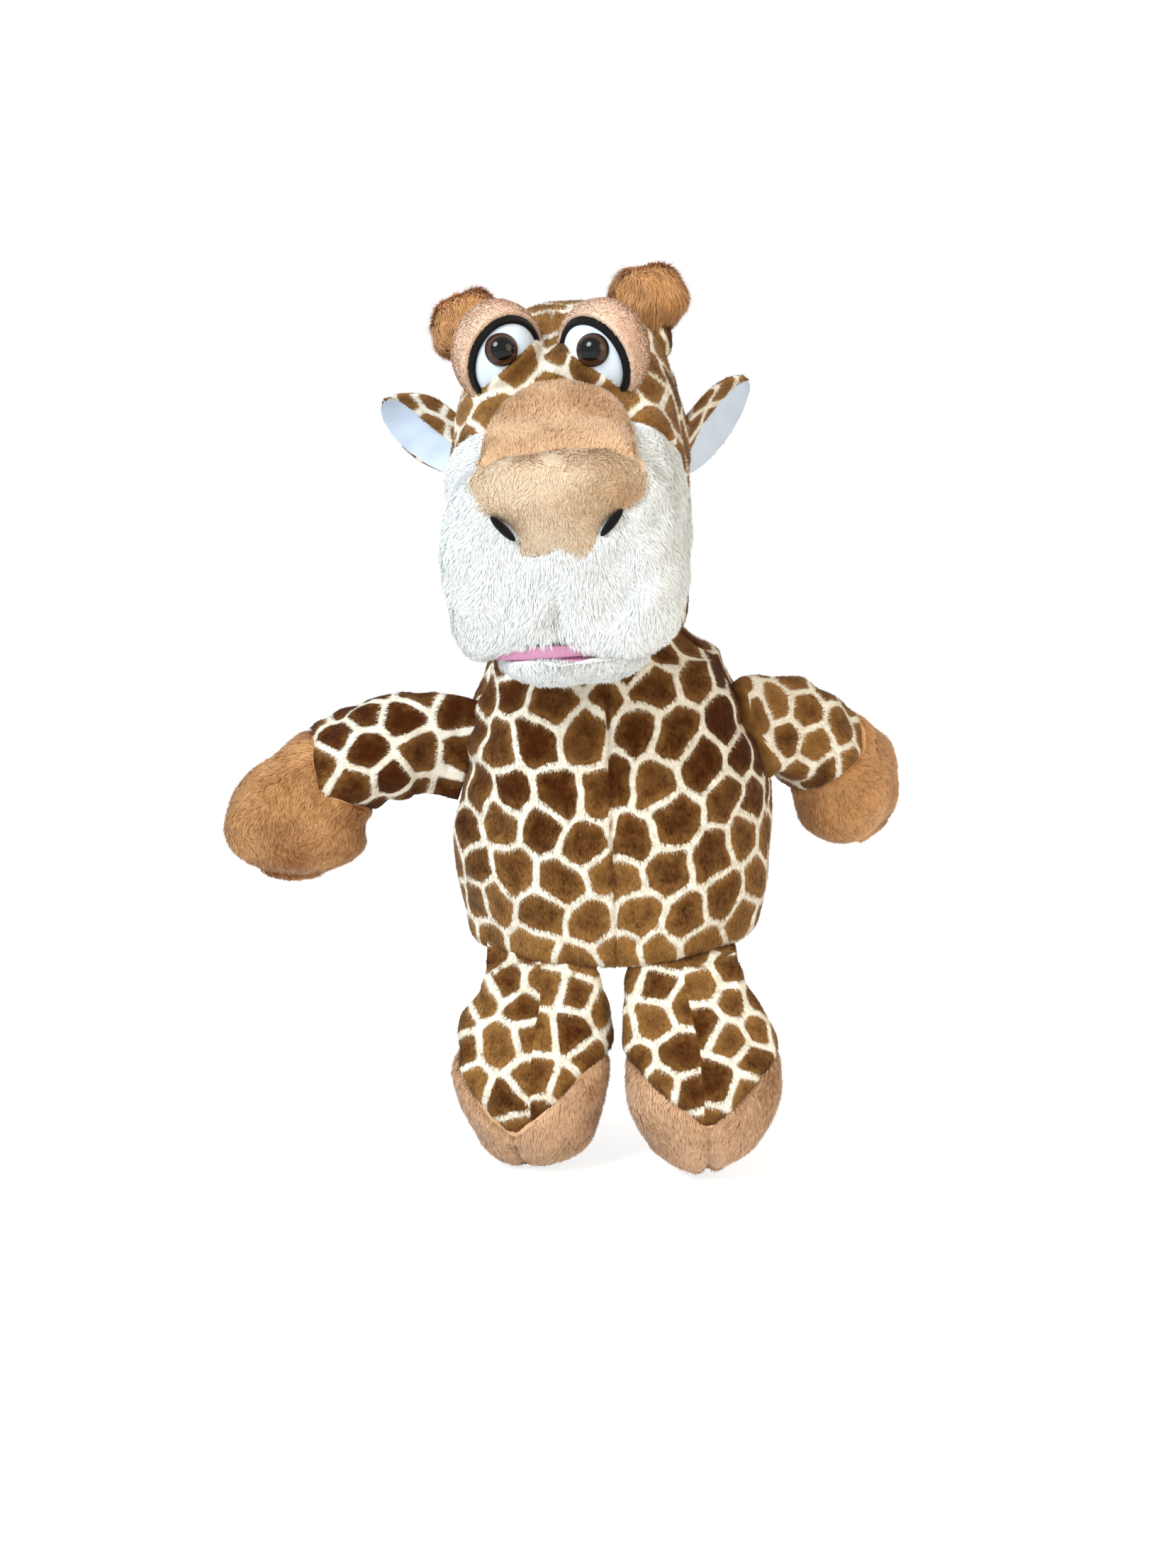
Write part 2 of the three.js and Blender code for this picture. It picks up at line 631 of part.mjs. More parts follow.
// Bridge panel and nose pad: puffy pieces sewn on over the muzzle
const arch = new THREE.Shape();
arch.moveTo(-BRIDGE_PANEL_WIDTH / 2, BRIDGE_PANEL_BOTTOM);
arch.lineTo(BRIDGE_PANEL_WIDTH / 2, BRIDGE_PANEL_BOTTOM);
const archRise = BRIDGE_PANEL_TOP - BRIDGE_PANEL_BOTTOM;
arch.absellipse(0, BRIDGE_PANEL_BOTTOM, BRIDGE_PANEL_WIDTH / 2, archRise, 0, Math.PI, false);
const bridgeSkin = headForm(SEAM_GAP + BRIDGE_PANEL_THICKNESS, HEAD_SIDES);
const bridgePanel = bridgeSkin.subtract(headClear).intersect(slab(arch, -FAR, -BROW_REACH));

const pad = new THREE.Shape();
const [tip, wing, brim] = [NOSE_TIP_WIDTH / 2, NOSE_WING_WIDTH / 2, NOSE_TOP_WIDTH / 2];
pad.moveTo(-tip + 8, NOSE_BOTTOM);
pad.lineTo(tip - 8, NOSE_BOTTOM);
pad.quadraticCurveTo(tip, NOSE_BOTTOM, tip, NOSE_BOTTOM + 9);
pad.bezierCurveTo(tip, NOSE_BOTTOM + 24, wing, NOSE_WING_HEIGHT - 14, wing, NOSE_WING_HEIGHT);
pad.quadraticCurveTo(wing, NOSE_TOP - 4, brim - 8, NOSE_TOP);
pad.lineTo(-brim + 8, NOSE_TOP);
pad.quadraticCurveTo(-wing, NOSE_TOP - 4, -wing, NOSE_WING_HEIGHT);
pad.bezierCurveTo(-wing, NOSE_WING_HEIGHT - 14, -tip, NOSE_BOTTOM + 24, -tip, NOSE_BOTTOM + 9);
pad.quadraticCurveTo(-tip, NOSE_BOTTOM, -tip + 8, NOSE_BOTTOM);
const noseMiddle = (NOSE_TOP + NOSE_BOTTOM) / 2 + 4;
const noseDepth = NOSE_PUFF + 22;
const nosePuff = moved(
  ellipsoid(NOSE_WING_WIDTH / 2 + 8, noseDepth, (NOSE_TOP - NOSE_BOTTOM) / 2 + 12, 20, 12),
  new THREE.Matrix4().makeTranslation(0, -MUZZLE_REACH + noseDepth - NOSE_PUFF, noseMiddle),
);
const nosePad = largest(nosePuff.intersect(slab(pad, -FAR, -BRIDGE_REACH)).subtract(headClear));
part(head, "nose_pad", nosePad, PEACH, 0.95);
const noseClear = nosePuff.intersect(slab(pad, -FAR, -BRIDGE_REACH));

function nostril(side) {
  const from = at((side * NOSTRIL_SPACING) / 2, -FAR, NOSTRIL_HEIGHT);
  const root = meet(headSkin, from, at(0, 1, 0));
  const bead = ellipsoid(NOSTRIL_WIDTH / 2, NOSTRIL_WIDTH / 2, NOSTRIL_LENGTH / 2, 12, 8);
  const turn = new THREE.Euler(0, side * rad(NOSTRIL_TILT), 0);
  const gapped = noseClear.add(moved(noseClear, new THREE.Matrix4().makeTranslation(side * SEAM_GAP, 0, -SEAM_GAP)));
  return largest(moved(bead, placed(root, turn)).subtract(headClear).subtract(gapped));
}
part(head, "nostril_left", nostril(-1), BLACK, 0.9);
part(head, "nostril_right", nostril(1), BLACK, 0.9);

// Eyes: stuffed domes with a lid, a lash band and a plastic eye held by a washer
function eye(side, name, height) {
  const seat = meet(headSkin, at((side * EYE_SPACING) / 2 + EYE_SHIFT, -FAR, height), at(0, 1, 0));
  const group = new THREE.Group();
  group.position.copy(seat).add(at(0, -EYE_STAND, 0));
  group.updateMatrix();
  head.add(group);
  const skin = moved(headClear, group.matrix.clone().invert());
  const ball = (radius) => ellipsoid(radius, radius, radius + EYE_TALLER, 16, 9);
  const gaze = placed(at(0, 0, 0), new THREE.Euler(rad(90 + PUPIL_DROP), 0, -side * rad(PUPIL_SQUINT), "ZXY"));
  const seatHeight = EYE_RADIUS - 3;
  const washerTop = seatHeight - 3;
  const stem = bar(STEM_RADIUS, washerTop - WASHER_THICKNESS - 1, EYE_RADIUS + 1, 10);
  const stemHole = bar(STEM_RADIUS + SEAM_GAP, washerTop - WASHER_THICKNESS - 1.5, EYE_RADIUS + 2, 10);
  const washerRoom = bar(WASHER_RADIUS + SEAM_GAP, washerTop - WASHER_THICKNESS - 1.5, washerTop + SEAM_GAP, 16);
  const washer = bar(WASHER_RADIUS, washerTop - WASHER_THICKNESS, washerTop, 16).subtract(stemHole);
  const dome = moved(
    ellipsoid(PUPIL_RADIUS, PUPIL_RADIUS, PUPIL_HEIGHT + 1.5, 14, 8),
    new THREE.Matrix4().makeTranslation(0, 0, EYE_RADIUS - 1.5),
  );
  const button = moved(dome, gaze).subtract(ball(EYE_RADIUS + SEAM_GAP)).add(moved(stem, gaze));
  const white = ball(EYE_RADIUS).subtract(skin).subtract(moved(stemHole.add(washerRoom), gaze));
  part(group, "eyeball_" + name, largest(white), CREAM, 0.9);
  part(group, "safety_eye_" + name, button, 0x2a150a, 0.1);
  part(group, "eye_washer_" + name, moved(washer, gaze), 0xe8e8e8, 0.4);
  const edge = placed(at(0, 0, 0), new THREE.Euler(-rad(LID_LEAN), side * rad(LID_TILT), 0, "YXZ"));
  const above = (z0, z1) => moved(box(-FAR, FAR, -FAR, FAR, z0, z1), edge);
  const inside = EYE_RADIUS + SEAM_GAP;
  const lid = ball(inside + LID_THICKNESS).subtract(ball(inside)).subtract(skin).intersect(above(LID_OFFSET, FAR));
  const lashBand = above(LID_OFFSET - LASH_WIDTH, LID_OFFSET - SEAM_GAP);
  const lash = ball(inside + LASH_THICKNESS).subtract(ball(inside)).subtract(skin).intersect(lashBand);
  part(group, "eyelid_" + name, largest(lid), LID_PEACH, 0.95);
  part(group, "lash_" + name, largest(lash), BLACK, 0.9);
  return moved(ball(inside + LID_THICKNESS + SEAM_GAP), group.matrix);
}
const eyeRoom = eye(-1, "left", LEFT_EYE_HEIGHT).add(eye(1, "right", RIGHT_EYE_HEIGHT));
const noseRoom = noseClear.add(moved(noseClear, new THREE.Matrix4().makeTranslation(0, -SEAM_GAP, SEAM_GAP)));
part(head, "bridge_panel", largest(bridgePanel.subtract(noseRoom).subtract(eyeRoom)), TAN, 0.95);

// Ears: a cupped printed leaf with a pale lining, rooted on the side of the crown
function ear(side, name, height, rise, sweep) {
  const root = meet(headSkin, at(side * FAR, EAR_REACH, height), at(-side, 0, 0));
  const group = new THREE.Group();
  group.position.copy(root).add(at(side * MOVING_GAP, 0, 0));
  group.rotation.set(rad(EAR_TURN), -side * rad(rise), side * rad(sweep), "ZYX");
  group.updateMatrix();
  head.add(group);
  const leaf = (inset) => {
    const made = ellipsoid(EAR_LENGTH / 2 - inset, EAR_CUP - inset, EAR_WIDTH / 2 - inset, 14, 8);
    return moved(made, new THREE.Matrix4().makeTranslation(side * (EAR_LENGTH / 2 - EAR_SINK), 0, 0));
  };
  const cup = box(-FAR, FAR, 0, FAR, -FAR, FAR);
  const away = moved(headForm(EAR_GAP, HEAD_SIDES), group.matrix.clone().invert());
  const outer = leaf(0).subtract(leaf(EAR_COVER)).intersect(cup).subtract(away);
  const lined = EAR_COVER + SEAM_GAP;
  const lining = leaf(lined).subtract(leaf(lined + LINING)).intersect(cup).subtract(away);
  part(group, "ear_outer_" + name, largest(outer), PRINT, 0.95);
  part(group, "ear_lining_" + name, largest(lining), CREAM, 0.9);
}
ear(-1, "left", LEFT_EAR_HEIGHT, LEFT_EAR_RISE, LEFT_EAR_SWEEP);
ear(1, "right", RIGHT_EAR_HEIGHT, RIGHT_EAR_RISE, RIGHT_EAR_SWEEP);

// Jaw: a shallow scoop under the mouth that swings on the fold
const jaw = new THREE.Group();
head.add(jaw);
const jawTop = -MOUTH_DROP - MOUTH_GAP;
const jawMiddle = (MOUTH_FOLD_REACH + JAW_REACH) / 2;
const jawAt = smooth([
  [-JAW_REACH, JAW_LIP_WIDTH / 2 - 11, JAW_LIP_DEPTH - 4.5],
  [-JAW_REACH + 3.5, JAW_LIP_WIDTH / 2, JAW_LIP_DEPTH],
  [-JAW_REACH + 13, JAW_WIDTH / 2 - 4, JAW_DEPTH - 3],
  [-jawMiddle, JAW_WIDTH / 2, JAW_DEPTH],
  [-MOUTH_FOLD_REACH, JAW_FOLD_WIDTH / 2, JAW_FOLD_DEPTH],
]);
function jawForm(inset, back) {
  const keys = [-JAW_REACH, -JAW_REACH + 3.5, -JAW_REACH + 8, -JAW_REACH + 16, -jawMiddle, -MOUTH_FOLD_REACH - 9];
  const rings = [...keys, -MOUTH_FOLD_REACH].map((y, i) => {
    const [, width, depth] = jawAt(y);
    const outline = oval(LIMB_SIDES, width - inset, depth - inset, depth, 2.5);
    const shift = i === keys.length ? back : inset * (1 - i / keys.length);
    return outline.map(([x, z]) => at(x, y + shift, jawTop + z));
  });
  return loft(rings).intersect(box(-FAR, FAR, -FAR, FAR, -FAR, jawTop));
}
const jawScoop = jawForm(0, 0).subtract(jawForm(LIMB_COVER, 1).add(moved(
  jawForm(LIMB_COVER, 1),
  new THREE.Matrix4().makeTranslation(0, 0, 1),
)));
part(jaw, "jaw_cover", largest(jawScoop), CREAM, 0.95);
const jawFit = jawForm(LIMB_COVER + SEAM_GAP, 0);
const tongue = jawTop - MOUTH_LINING;
const trayHigh = tongue - SEAM_GAP;
const trayLow = trayHigh - MOUTH_BOARD;
part(jaw, "lower_mouth_lining", jawFit.intersect(aheadOfFold(tongue, jawTop)), PINK, 0.9);
part(jaw, "lower_mouth_board", jawFit.intersect(aheadOfFold(trayLow, trayHigh)), BOARD, 0.7);
const thumbTop = trayLow - SEAM_GAP;
function thumbForm(inset, back) {
  const rings = [-THUMB_REACH + inset, -THUMB_REACH + 4, -THUMB_REACH + 10, back].map((y, i) => {
    const shrink = inset + [3, 0.7, 0, 0][i];
    const half = THUMB_HEIGHT / 2 - shrink;
    const outline = oval(INNER_SIDES, THUMB_WIDTH / 2 - shrink, half, half, 3);
    return outline.map(([x, z]) => at(x, y, thumbTop - THUMB_HEIGHT / 2 + z));
  });
  return loft(rings);
}
const thumbPocket = thumbForm(0, -MOUTH_FOLD_REACH).subtract(thumbForm(LINING * 0.75, -MOUTH_FOLD_REACH + 1));
part(jaw, "thumb_pocket", largest(thumbPocket.intersect(jawFit)), LINING_CLOTH, 0.9);

// Arms: a stuffed sleeve that swells from its flat shoulder seam, bends down and ends in a hoof
function arm(side, name, swing, lift, bend) {
  const group = new THREE.Group();
  group.applyMatrix4(shoulders[name]);
  torso.add(group);
  const swung = new THREE.Group();
  swung.rotation.z = -side * rad(swing);
  group.add(swung);
  const spine = (s) => {
    const pieces = 40;
    const point = at(0, 0, 0);
    let angle = rad(lift);
    for (let i = 0; i < pieces; i++) {
      angle = rad(lift - (bend * s * (i + 0.5)) / pieces / ARM_LENGTH);
      point.add(at((Math.cos(angle) * s) / pieces, 0, (Math.sin(angle) * s) / pieces));
    }
    return { point, angle: rad(lift - (bend * s) / ARM_LENGTH) };
  };
  const sleevePart = (t) => ARM_CUFF * t;
  const hoofPart = (t) => ARM_CUFF + (ARM_LENGTH - ARM_CUFF) * t;
  const sectionAt = smooth([
    [0, SHOULDER_SEAM / 2, SHOULDER_THICKNESS / 2],
    [sleevePart(0.23), ARM_TALL / 2, ARM_THICK * 0.23],
    [sleevePart(0.49), ARM_TALL / 2, ARM_THICK * 0.39],
    [sleevePart(0.74), ARM_TALL / 2, ARM_THICK / 2],
    [ARM_CUFF, ARM_TALL * 0.53, ARM_THICK * 0.51],
    [hoofPart(0.38), ARM_HOOF_TALL / 2, ARM_HOOF_THICK / 2],
    [hoofPart(0.71), ARM_HOOF_TALL * 0.475, ARM_HOOF_THICK * 0.435],
    [hoofPart(0.9), ARM_HOOF_TALL * 0.38, ARM_HOOF_THICK * 0.3],
    [ARM_LENGTH, ARM_HOOF_TALL * 0.24, ARM_HOOF_THICK * 0.13],
  ]);
  const ring = (s, tall, thick, sides) => {
    const { point, angle } = spine(s);
    const lean = angle * THREE.MathUtils.smoothstep(s, 0, sleevePart(0.39));
    return oval(sides, thick, tall, tall, 2.15).map(([y, up]) =>
      at(side * (point.x - Math.sin(lean) * up), y, point.z + Math.cos(lean) * up),
    );
  };
  const form = (inset, sides, keys) =>
    loft(
      keys.map((s) => {
        const [, tall, thick] = sectionAt(s);
        const t = s / ARM_LENGTH;
        return ring(s + inset * (1 - 2 * t), tall - inset, thick - inset, sides);
      }),
    );
  const cuffToEnd = [0, 0.38, 0.71, 0.9, 1].map(hoofPart);
  const outerKeys = [...[0, 0.115, 0.23, 0.36, 0.56, 0.74].map(sleevePart), ...cuffToEnd];
  const innerKeys = [...[0.15, 0.3, 0.49, 0.74].map(sleevePart), ...cuffToEnd.slice(0, 4)];
  const roll = bar(SHOULDER_THICKNESS / 2, -SHOULDER_SEAM / 2, SHOULDER_SEAM / 2, 14);
  const outer = form(0, LIMB_SIDES, outerKeys).add(roll);
  const inner = form(LIMB_COVER, INNER_SIDES, innerKeys);
  const cuff = spine(ARM_CUFF);
  const cuffPlace = placed(at(side * cuff.point.x, 0, cuff.point.z), new THREE.Euler(0, -side * cuff.angle, 0));
  const wrist = (gap) => {
    const back = FAR * Math.tan(rad(ARM_CUFF_SLOPE));
    const wedge = new THREE.Shape();
    wedge.moveTo(-side * gap, 0);
    wedge.lineTo(-side * (gap + back), FAR);
    wedge.lineTo(-side * FAR, FAR);
    wedge.lineTo(-side * FAR, -FAR);
    wedge.lineTo(-side * (gap + back), -FAR);
    wedge.closePath();
    return moved(slab(wedge, -FAR, FAR), cuffPlace);
  };
  const shell = outer.subtract(inner);
  part(swung, "arm_sleeve_" + name, largest(shell.intersect(wrist(SEAM_GAP))), PRINT, 0.95);
  part(swung, "arm_hoof_" + name, largest(shell.subtract(wrist(0))), TAN, 0.95);
  part(swung, "arm_stuffing_" + name, form(LIMB_COVER + SEAM_GAP, INNER_SIDES, innerKeys), FILLING, 1);
}
arm(-1, "left", LEFT_ARM_SWING, LEFT_ARM_LIFT, LEFT_ARM_BEND);
arm(1, "right", RIGHT_ARM_SWING, RIGHT_ARM_LIFT, RIGHT_ARM_BEND);

// Legs: stuffed boots sewn flat under the front hem, with a hoof that rises in a V round the shin
function leg(side, name, swing, turn) {
  const edge = meet(bodySkin, at((side * LEG_SPACING) / 2, -FAR, 1), at(0, 1, 0));
  const group = new THREE.Group();
  group.position.set((side * LEG_SPACING) / 2 + LEG_SHIFT, edge.y + HIP_SETBACK, -HIP_THICKNESS / 2 - MOVING_GAP);
  group.rotation.x = -rad(swing);
  torso.add(group);
  const sectionAt = smooth([
    [0, HIP_SEAM / 2, HIP_THICKNESS / 2, 0, 0],
    [LEG_WIDEST * 0.24, HIP_SEAM * 0.6, HIP_THICKNESS * 1.2, LEG_SPLAY * 0.17, LEG_FORWARD * 0.06],
    [LEG_WIDEST * 0.57, LEG_WIDTH * 0.48, LEG_DEPTH * 0.37, LEG_SPLAY * 0.7, LEG_FORWARD / 3],
    [LEG_WIDEST, LEG_WIDTH / 2, LEG_DEPTH / 2, LEG_SPLAY, LEG_FORWARD],
    [LEG_LENGTH * 0.83, LEG_WIDTH * 0.4, LEG_DEPTH * 0.48, LEG_SPLAY, LEG_FORWARD],
    [LEG_LENGTH * 0.95, LEG_WIDTH * 0.27, LEG_DEPTH * 0.33, LEG_SPLAY, LEG_FORWARD],
    [LEG_LENGTH, LEG_WIDTH * 0.14, LEG_DEPTH * 0.17, LEG_SPLAY, LEG_FORWARD],
  ]);
  const form = (inset, sides, keys) =>
    loft(
      keys.map((s) => {
        const [, wide, deep, splay, forward] = sectionAt(s);
        const z = -s - inset * (1 - (2 * s) / LEG_LENGTH);
        const outline = oval(sides, wide - inset, deep - inset, deep - inset, 2.2);
        return outline.map(([x, y]) => at(x + side * splay, y - forward, z));
      }),
    );
  const thigh = (t) => LEG_WIDEST * t;
  const end = [0.83, 0.95, 1].map((t) => LEG_LENGTH * t);
  const outerKeys = [...[0, 0.12, 0.24, 0.4, 0.57, 0.88, 1].map(thigh), ...end];
  const innerKeys = [...[0.19, 0.38, 0.62, 1].map(thigh), ...end.slice(0, 2)];
  const rollTurn = placed(at(0, 0, 0), new THREE.Euler(0, Math.PI / 2, 0));
  const roll = moved(bar(HIP_THICKNESS / 2, -HIP_SEAM / 2, HIP_SEAM / 2, 14), rollTurn);
  const outer = form(0, LIMB_SIDES, outerKeys).add(roll);
  const inner = form(LIMB_COVER, INNER_SIDES, innerKeys);
  const shin = (gap) => {
    const rise = FAR * Math.tan(rad(HOOF_SLOPE));
    const wedge = new THREE.Shape();
    wedge.moveTo(0, gap - HOOF_POINT);
    wedge.lineTo(FAR, gap - HOOF_POINT + rise);
    wedge.lineTo(-FAR, gap - HOOF_POINT + rise);
    wedge.closePath();
    const turned = placed(at(side * LEG_SPLAY, -LEG_FORWARD, 0), new THREE.Euler(0, 0, side * rad(turn)));
    return moved(slab(wedge, -FAR, FAR), turned);
  };
  const shell = outer.subtract(inner);
  part(group, "leg_sleeve_" + name, largest(shell.intersect(shin(SEAM_GAP))), PRINT, 0.95);
  part(group, "leg_hoof_" + name, largest(shell.subtract(shin(0))), TAN, 0.95);
  part(group, "leg_stuffing_" + name, form(LIMB_COVER + SEAM_GAP, INNER_SIDES, innerKeys), FILLING, 1);
}
leg(-1, "left", LEFT_LEG_SWING, LEFT_FOOT_TURN);
leg(1, "right", RIGHT_LEG_SWING, RIGHT_FOOT_TURN);

export default puppet;
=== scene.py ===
"""Giraffe hand puppet: plush skins, print, pile, eyes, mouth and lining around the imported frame."""

import math

import bpy
import numpy as np
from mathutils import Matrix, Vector
from mathutils.kdtree import KDTree
from numpy import arange, array, clip, concatenate, cos, linspace, maximum, minimum, sin, sqrt, stack, where
from numpy.linalg import norm


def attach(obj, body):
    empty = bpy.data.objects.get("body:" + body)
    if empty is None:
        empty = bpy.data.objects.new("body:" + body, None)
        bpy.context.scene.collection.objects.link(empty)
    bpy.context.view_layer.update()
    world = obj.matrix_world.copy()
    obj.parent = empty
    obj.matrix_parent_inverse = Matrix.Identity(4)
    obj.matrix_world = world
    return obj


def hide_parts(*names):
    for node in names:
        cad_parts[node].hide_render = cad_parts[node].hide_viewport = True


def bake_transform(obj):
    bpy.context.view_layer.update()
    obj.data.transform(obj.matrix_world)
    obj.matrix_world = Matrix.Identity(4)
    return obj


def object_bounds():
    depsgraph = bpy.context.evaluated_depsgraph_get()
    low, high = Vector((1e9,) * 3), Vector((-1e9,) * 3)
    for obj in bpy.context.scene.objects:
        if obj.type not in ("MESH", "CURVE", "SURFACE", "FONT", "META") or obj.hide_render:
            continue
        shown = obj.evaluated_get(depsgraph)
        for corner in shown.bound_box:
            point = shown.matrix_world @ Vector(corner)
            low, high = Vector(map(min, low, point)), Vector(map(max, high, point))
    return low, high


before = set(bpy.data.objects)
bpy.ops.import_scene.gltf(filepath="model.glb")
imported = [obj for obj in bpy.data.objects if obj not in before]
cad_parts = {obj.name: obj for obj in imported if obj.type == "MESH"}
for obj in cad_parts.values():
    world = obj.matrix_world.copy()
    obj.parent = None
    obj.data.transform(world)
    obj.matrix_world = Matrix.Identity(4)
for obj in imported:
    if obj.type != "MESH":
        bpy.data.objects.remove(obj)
cad_box = [list(corner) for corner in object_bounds()]

# Lengths are in millimetres, unless a comment says otherwise
MM = 0.001
PI = math.pi
WAVES = 20
SKIN_IN, HOOF_IN = 0.6, 1.1
LINE, LINE_SOFT = 1.35, 0.6
BODY_PATCH, HEAD_PATCH, ARM_PATCH, LEG_PATCH, SMALL_PATCH = 21.0, 19.5, 17.5, 16.5, 15.0


def group(*numbers):
    """Where a group of solids is at rest: three rows of rotation and position."""
    return array(numbers, float).reshape(3, 4)


TORSO = group(0.999048, 0, -0.043619, 0, 0, 1, 0, 0, 0.043619, 0, 0.999048, 0)
HEAD = group(
    0.995702, 0.06969, -0.061006, -14.03577, -0.069746, 0.997564, 0.001217, 0,
    0.060942, 0.003043, 0.998137, 149.530088,
)
HORNS = {
    "left": group(
        0.900345, 0.244701, -0.359861, -58.495982, -0.064211, 0.892581, 0.446291, 30.857146,
        0.430413, -0.378709, 0.819344, 251.477353,
    ),
    "right": group(
        0.991144, 0.077405, -0.107897, 15.374366, -0.069587, 0.994795, 0.074441, 22.325474,
        0.113097, -0.066273, 0.991371, 260.783224,
    ),
}
EYES = {
    "left": np.column_stack([HEAD[:, :3], (-49.358853, -46.394774, 255.128414)]),
    "right": np.column_stack([HEAD[:, :3], (-6.911461, -56.844461, 255.230875)]),
}
EARS = {
    "left": group(
        0.841398, 0.384852, 0.379392, -66.126841, -0.057141, 0.761458, -0.645691, 5.452024,
        -0.537387, 0.521604, 0.66268, 212.462845,
    ),
    "right": group(
        0.613566, -0.736871, -0.283827, 30.586291, 0.293434, 0.546464, -0.784394, -1.307156,
        0.733098, 0.397993, 0.551515, 213.372857,
    ),
}
ARMS = {
    "left": group(
        0.955171, -0.083567, 0.284015, -71.334618, 0.087156, 0.996195, 0, -8,
        -0.282935, 0.024754, 0.95882, 86.256519,
    ),
    "right": group(
        0.465209, -0.805765, -0.366501, 62.243583, 0.866025, 0.5, 0, -8,
        0.183251, -0.317399, 0.930418, 96.09248,
    ),
}
LEGS = {
    "left": group(
        0.999048, -0.009069, -0.042666, -32.761399, 0, 0.978148, -0.207912, -43.31155,
        0.043619, 0.207714, 0.977217, -6.184919,
    ),
    "right": group(
        0.999048, 0, -0.043619, 28.180542, 0, 1, 0, -43.30762, 0.043619, 0, 0.999048, -3.524136,
    ),
}
SIDES = {"left": -1, "right": 1}


def put(place, points):
    """Points of a group in the shared frame."""
    return points @ place[:, :3].T + place[:, 3]


def ease(x, low, high):
    t = clip((x - low) / (high - low), 0, 1)
    return t * t * (3 - 2 * t)


def bump(x, width):
    return np.exp(-((x / width) ** 2))


def spline(*stations):
    """A smooth curve through stations, each a key followed by the values at that key."""
    table = array(stations, float)
    keys, values = table[:, 0], table[:, 1:]
    last = len(keys) - 1

    def at(x):
        x = np.asarray(x, float)
        i = clip(np.searchsorted(keys, x, side="right"), 1, last)
        t0, t1 = keys[i - 1], keys[i]
        before, after = i >= 2, i < last
        ip = where(before, i - 2, i)
        an = where(after, minimum(i + 1, last), i - 1)
        half = (t1 - t0) / 2
        wp = half / (t0 - where(before, keys[ip], t1))
        wn = half / (where(after, keys[an], t0) - t1)
        p = clip((x - t0) / (t1 - t0), 0, 1)
        p2, p3 = p * p, p * p * p
        sp = -wp * p3 + 2 * wp * p2 - wp * p
        s0 = (1 + wp) * p3 + (-1.5 - 2 * wp) * p2 + (-0.5 + wp) * p + 1
        s1 = (-1 - wn) * p3 + (1.5 + wn) * p2 + 0.5 * p
        sn = wn * p3 - wn * p2
        return [
            sp * values[ip, k] + s0 * values[i - 1, k] + s1 * values[i, k] + sn * values[an, k]
            for k in range(values.shape[1])
        ]

    return at


def oval(angle, half, low, high, squareness):
    """A soft section, between an ellipse at 2 and a box as squareness grows."""
    c, s = cos(angle), sin(angle)
    tall = where(s < 0, low, high)
    reach = (np.abs(c / half) ** squareness + np.abs(s / tall) ** squareness) ** (-1 / squareness)
    return reach * c, reach * s


def waves(points, length, seed):
    """Smooth unevenness of about unit size, with the given length in millimetres."""
    g = np.random.default_rng(seed)
    k = g.normal(size=(WAVES, 3))
    k *= (2 * PI / length) * g.uniform(0.6, 1.4, (WAVES, 1)) / norm(k, axis=1)[:, None]
    return cos(points @ k.T + g.uniform(0, 2 * PI, WAVES)).sum(-1) / math.sqrt(WAVES / 2)


def around(columns, start=0.0):
    """The angles of a row's points, once round."""
    return (start + 2 * PI * arange(columns) / columns)[None]


def unit(v):
    return v / maximum(norm(v, axis=-1), 1e-9)[..., None]


def mesh_object(name, points, quads, triangles, material, data, normals=None):
    me = bpy.data.meshes.new(name)
    me.vertices.add(len(points))
    me.vertices.foreach_set("co", (points * MM).astype(np.float32).ravel())
    corners = concatenate([quads.ravel(), triangles.ravel()]).astype(np.int32)
    sizes = np.repeat([4, 3], [len(quads), len(triangles)])
    starts = concatenate([[0], np.cumsum(sizes)[:-1]]).astype(np.int32)
    me.loops.add(len(corners))
    me.loops.foreach_set("vertex_index", corners)
    me.polygons.add(len(sizes))
    me.polygons.foreach_set("loop_start", starts)
    me.update(calc_edges=True)
    me.polygons.foreach_set("use_smooth", np.ones(len(sizes), bool))
    for key, values in data.items():
        made = me.attributes.new(key, "FLOAT", "POINT")
        made.data.foreach_set("value", np.asarray(values, np.float32).ravel())
    if normals is not None:
        me.normals_split_custom_set_from_vertices(normals.astype(np.float32))
    me.materials.append(material)
    ob = bpy.data.objects.new(name, me)
    bpy.context.collection.objects.link(ob)
    return ob


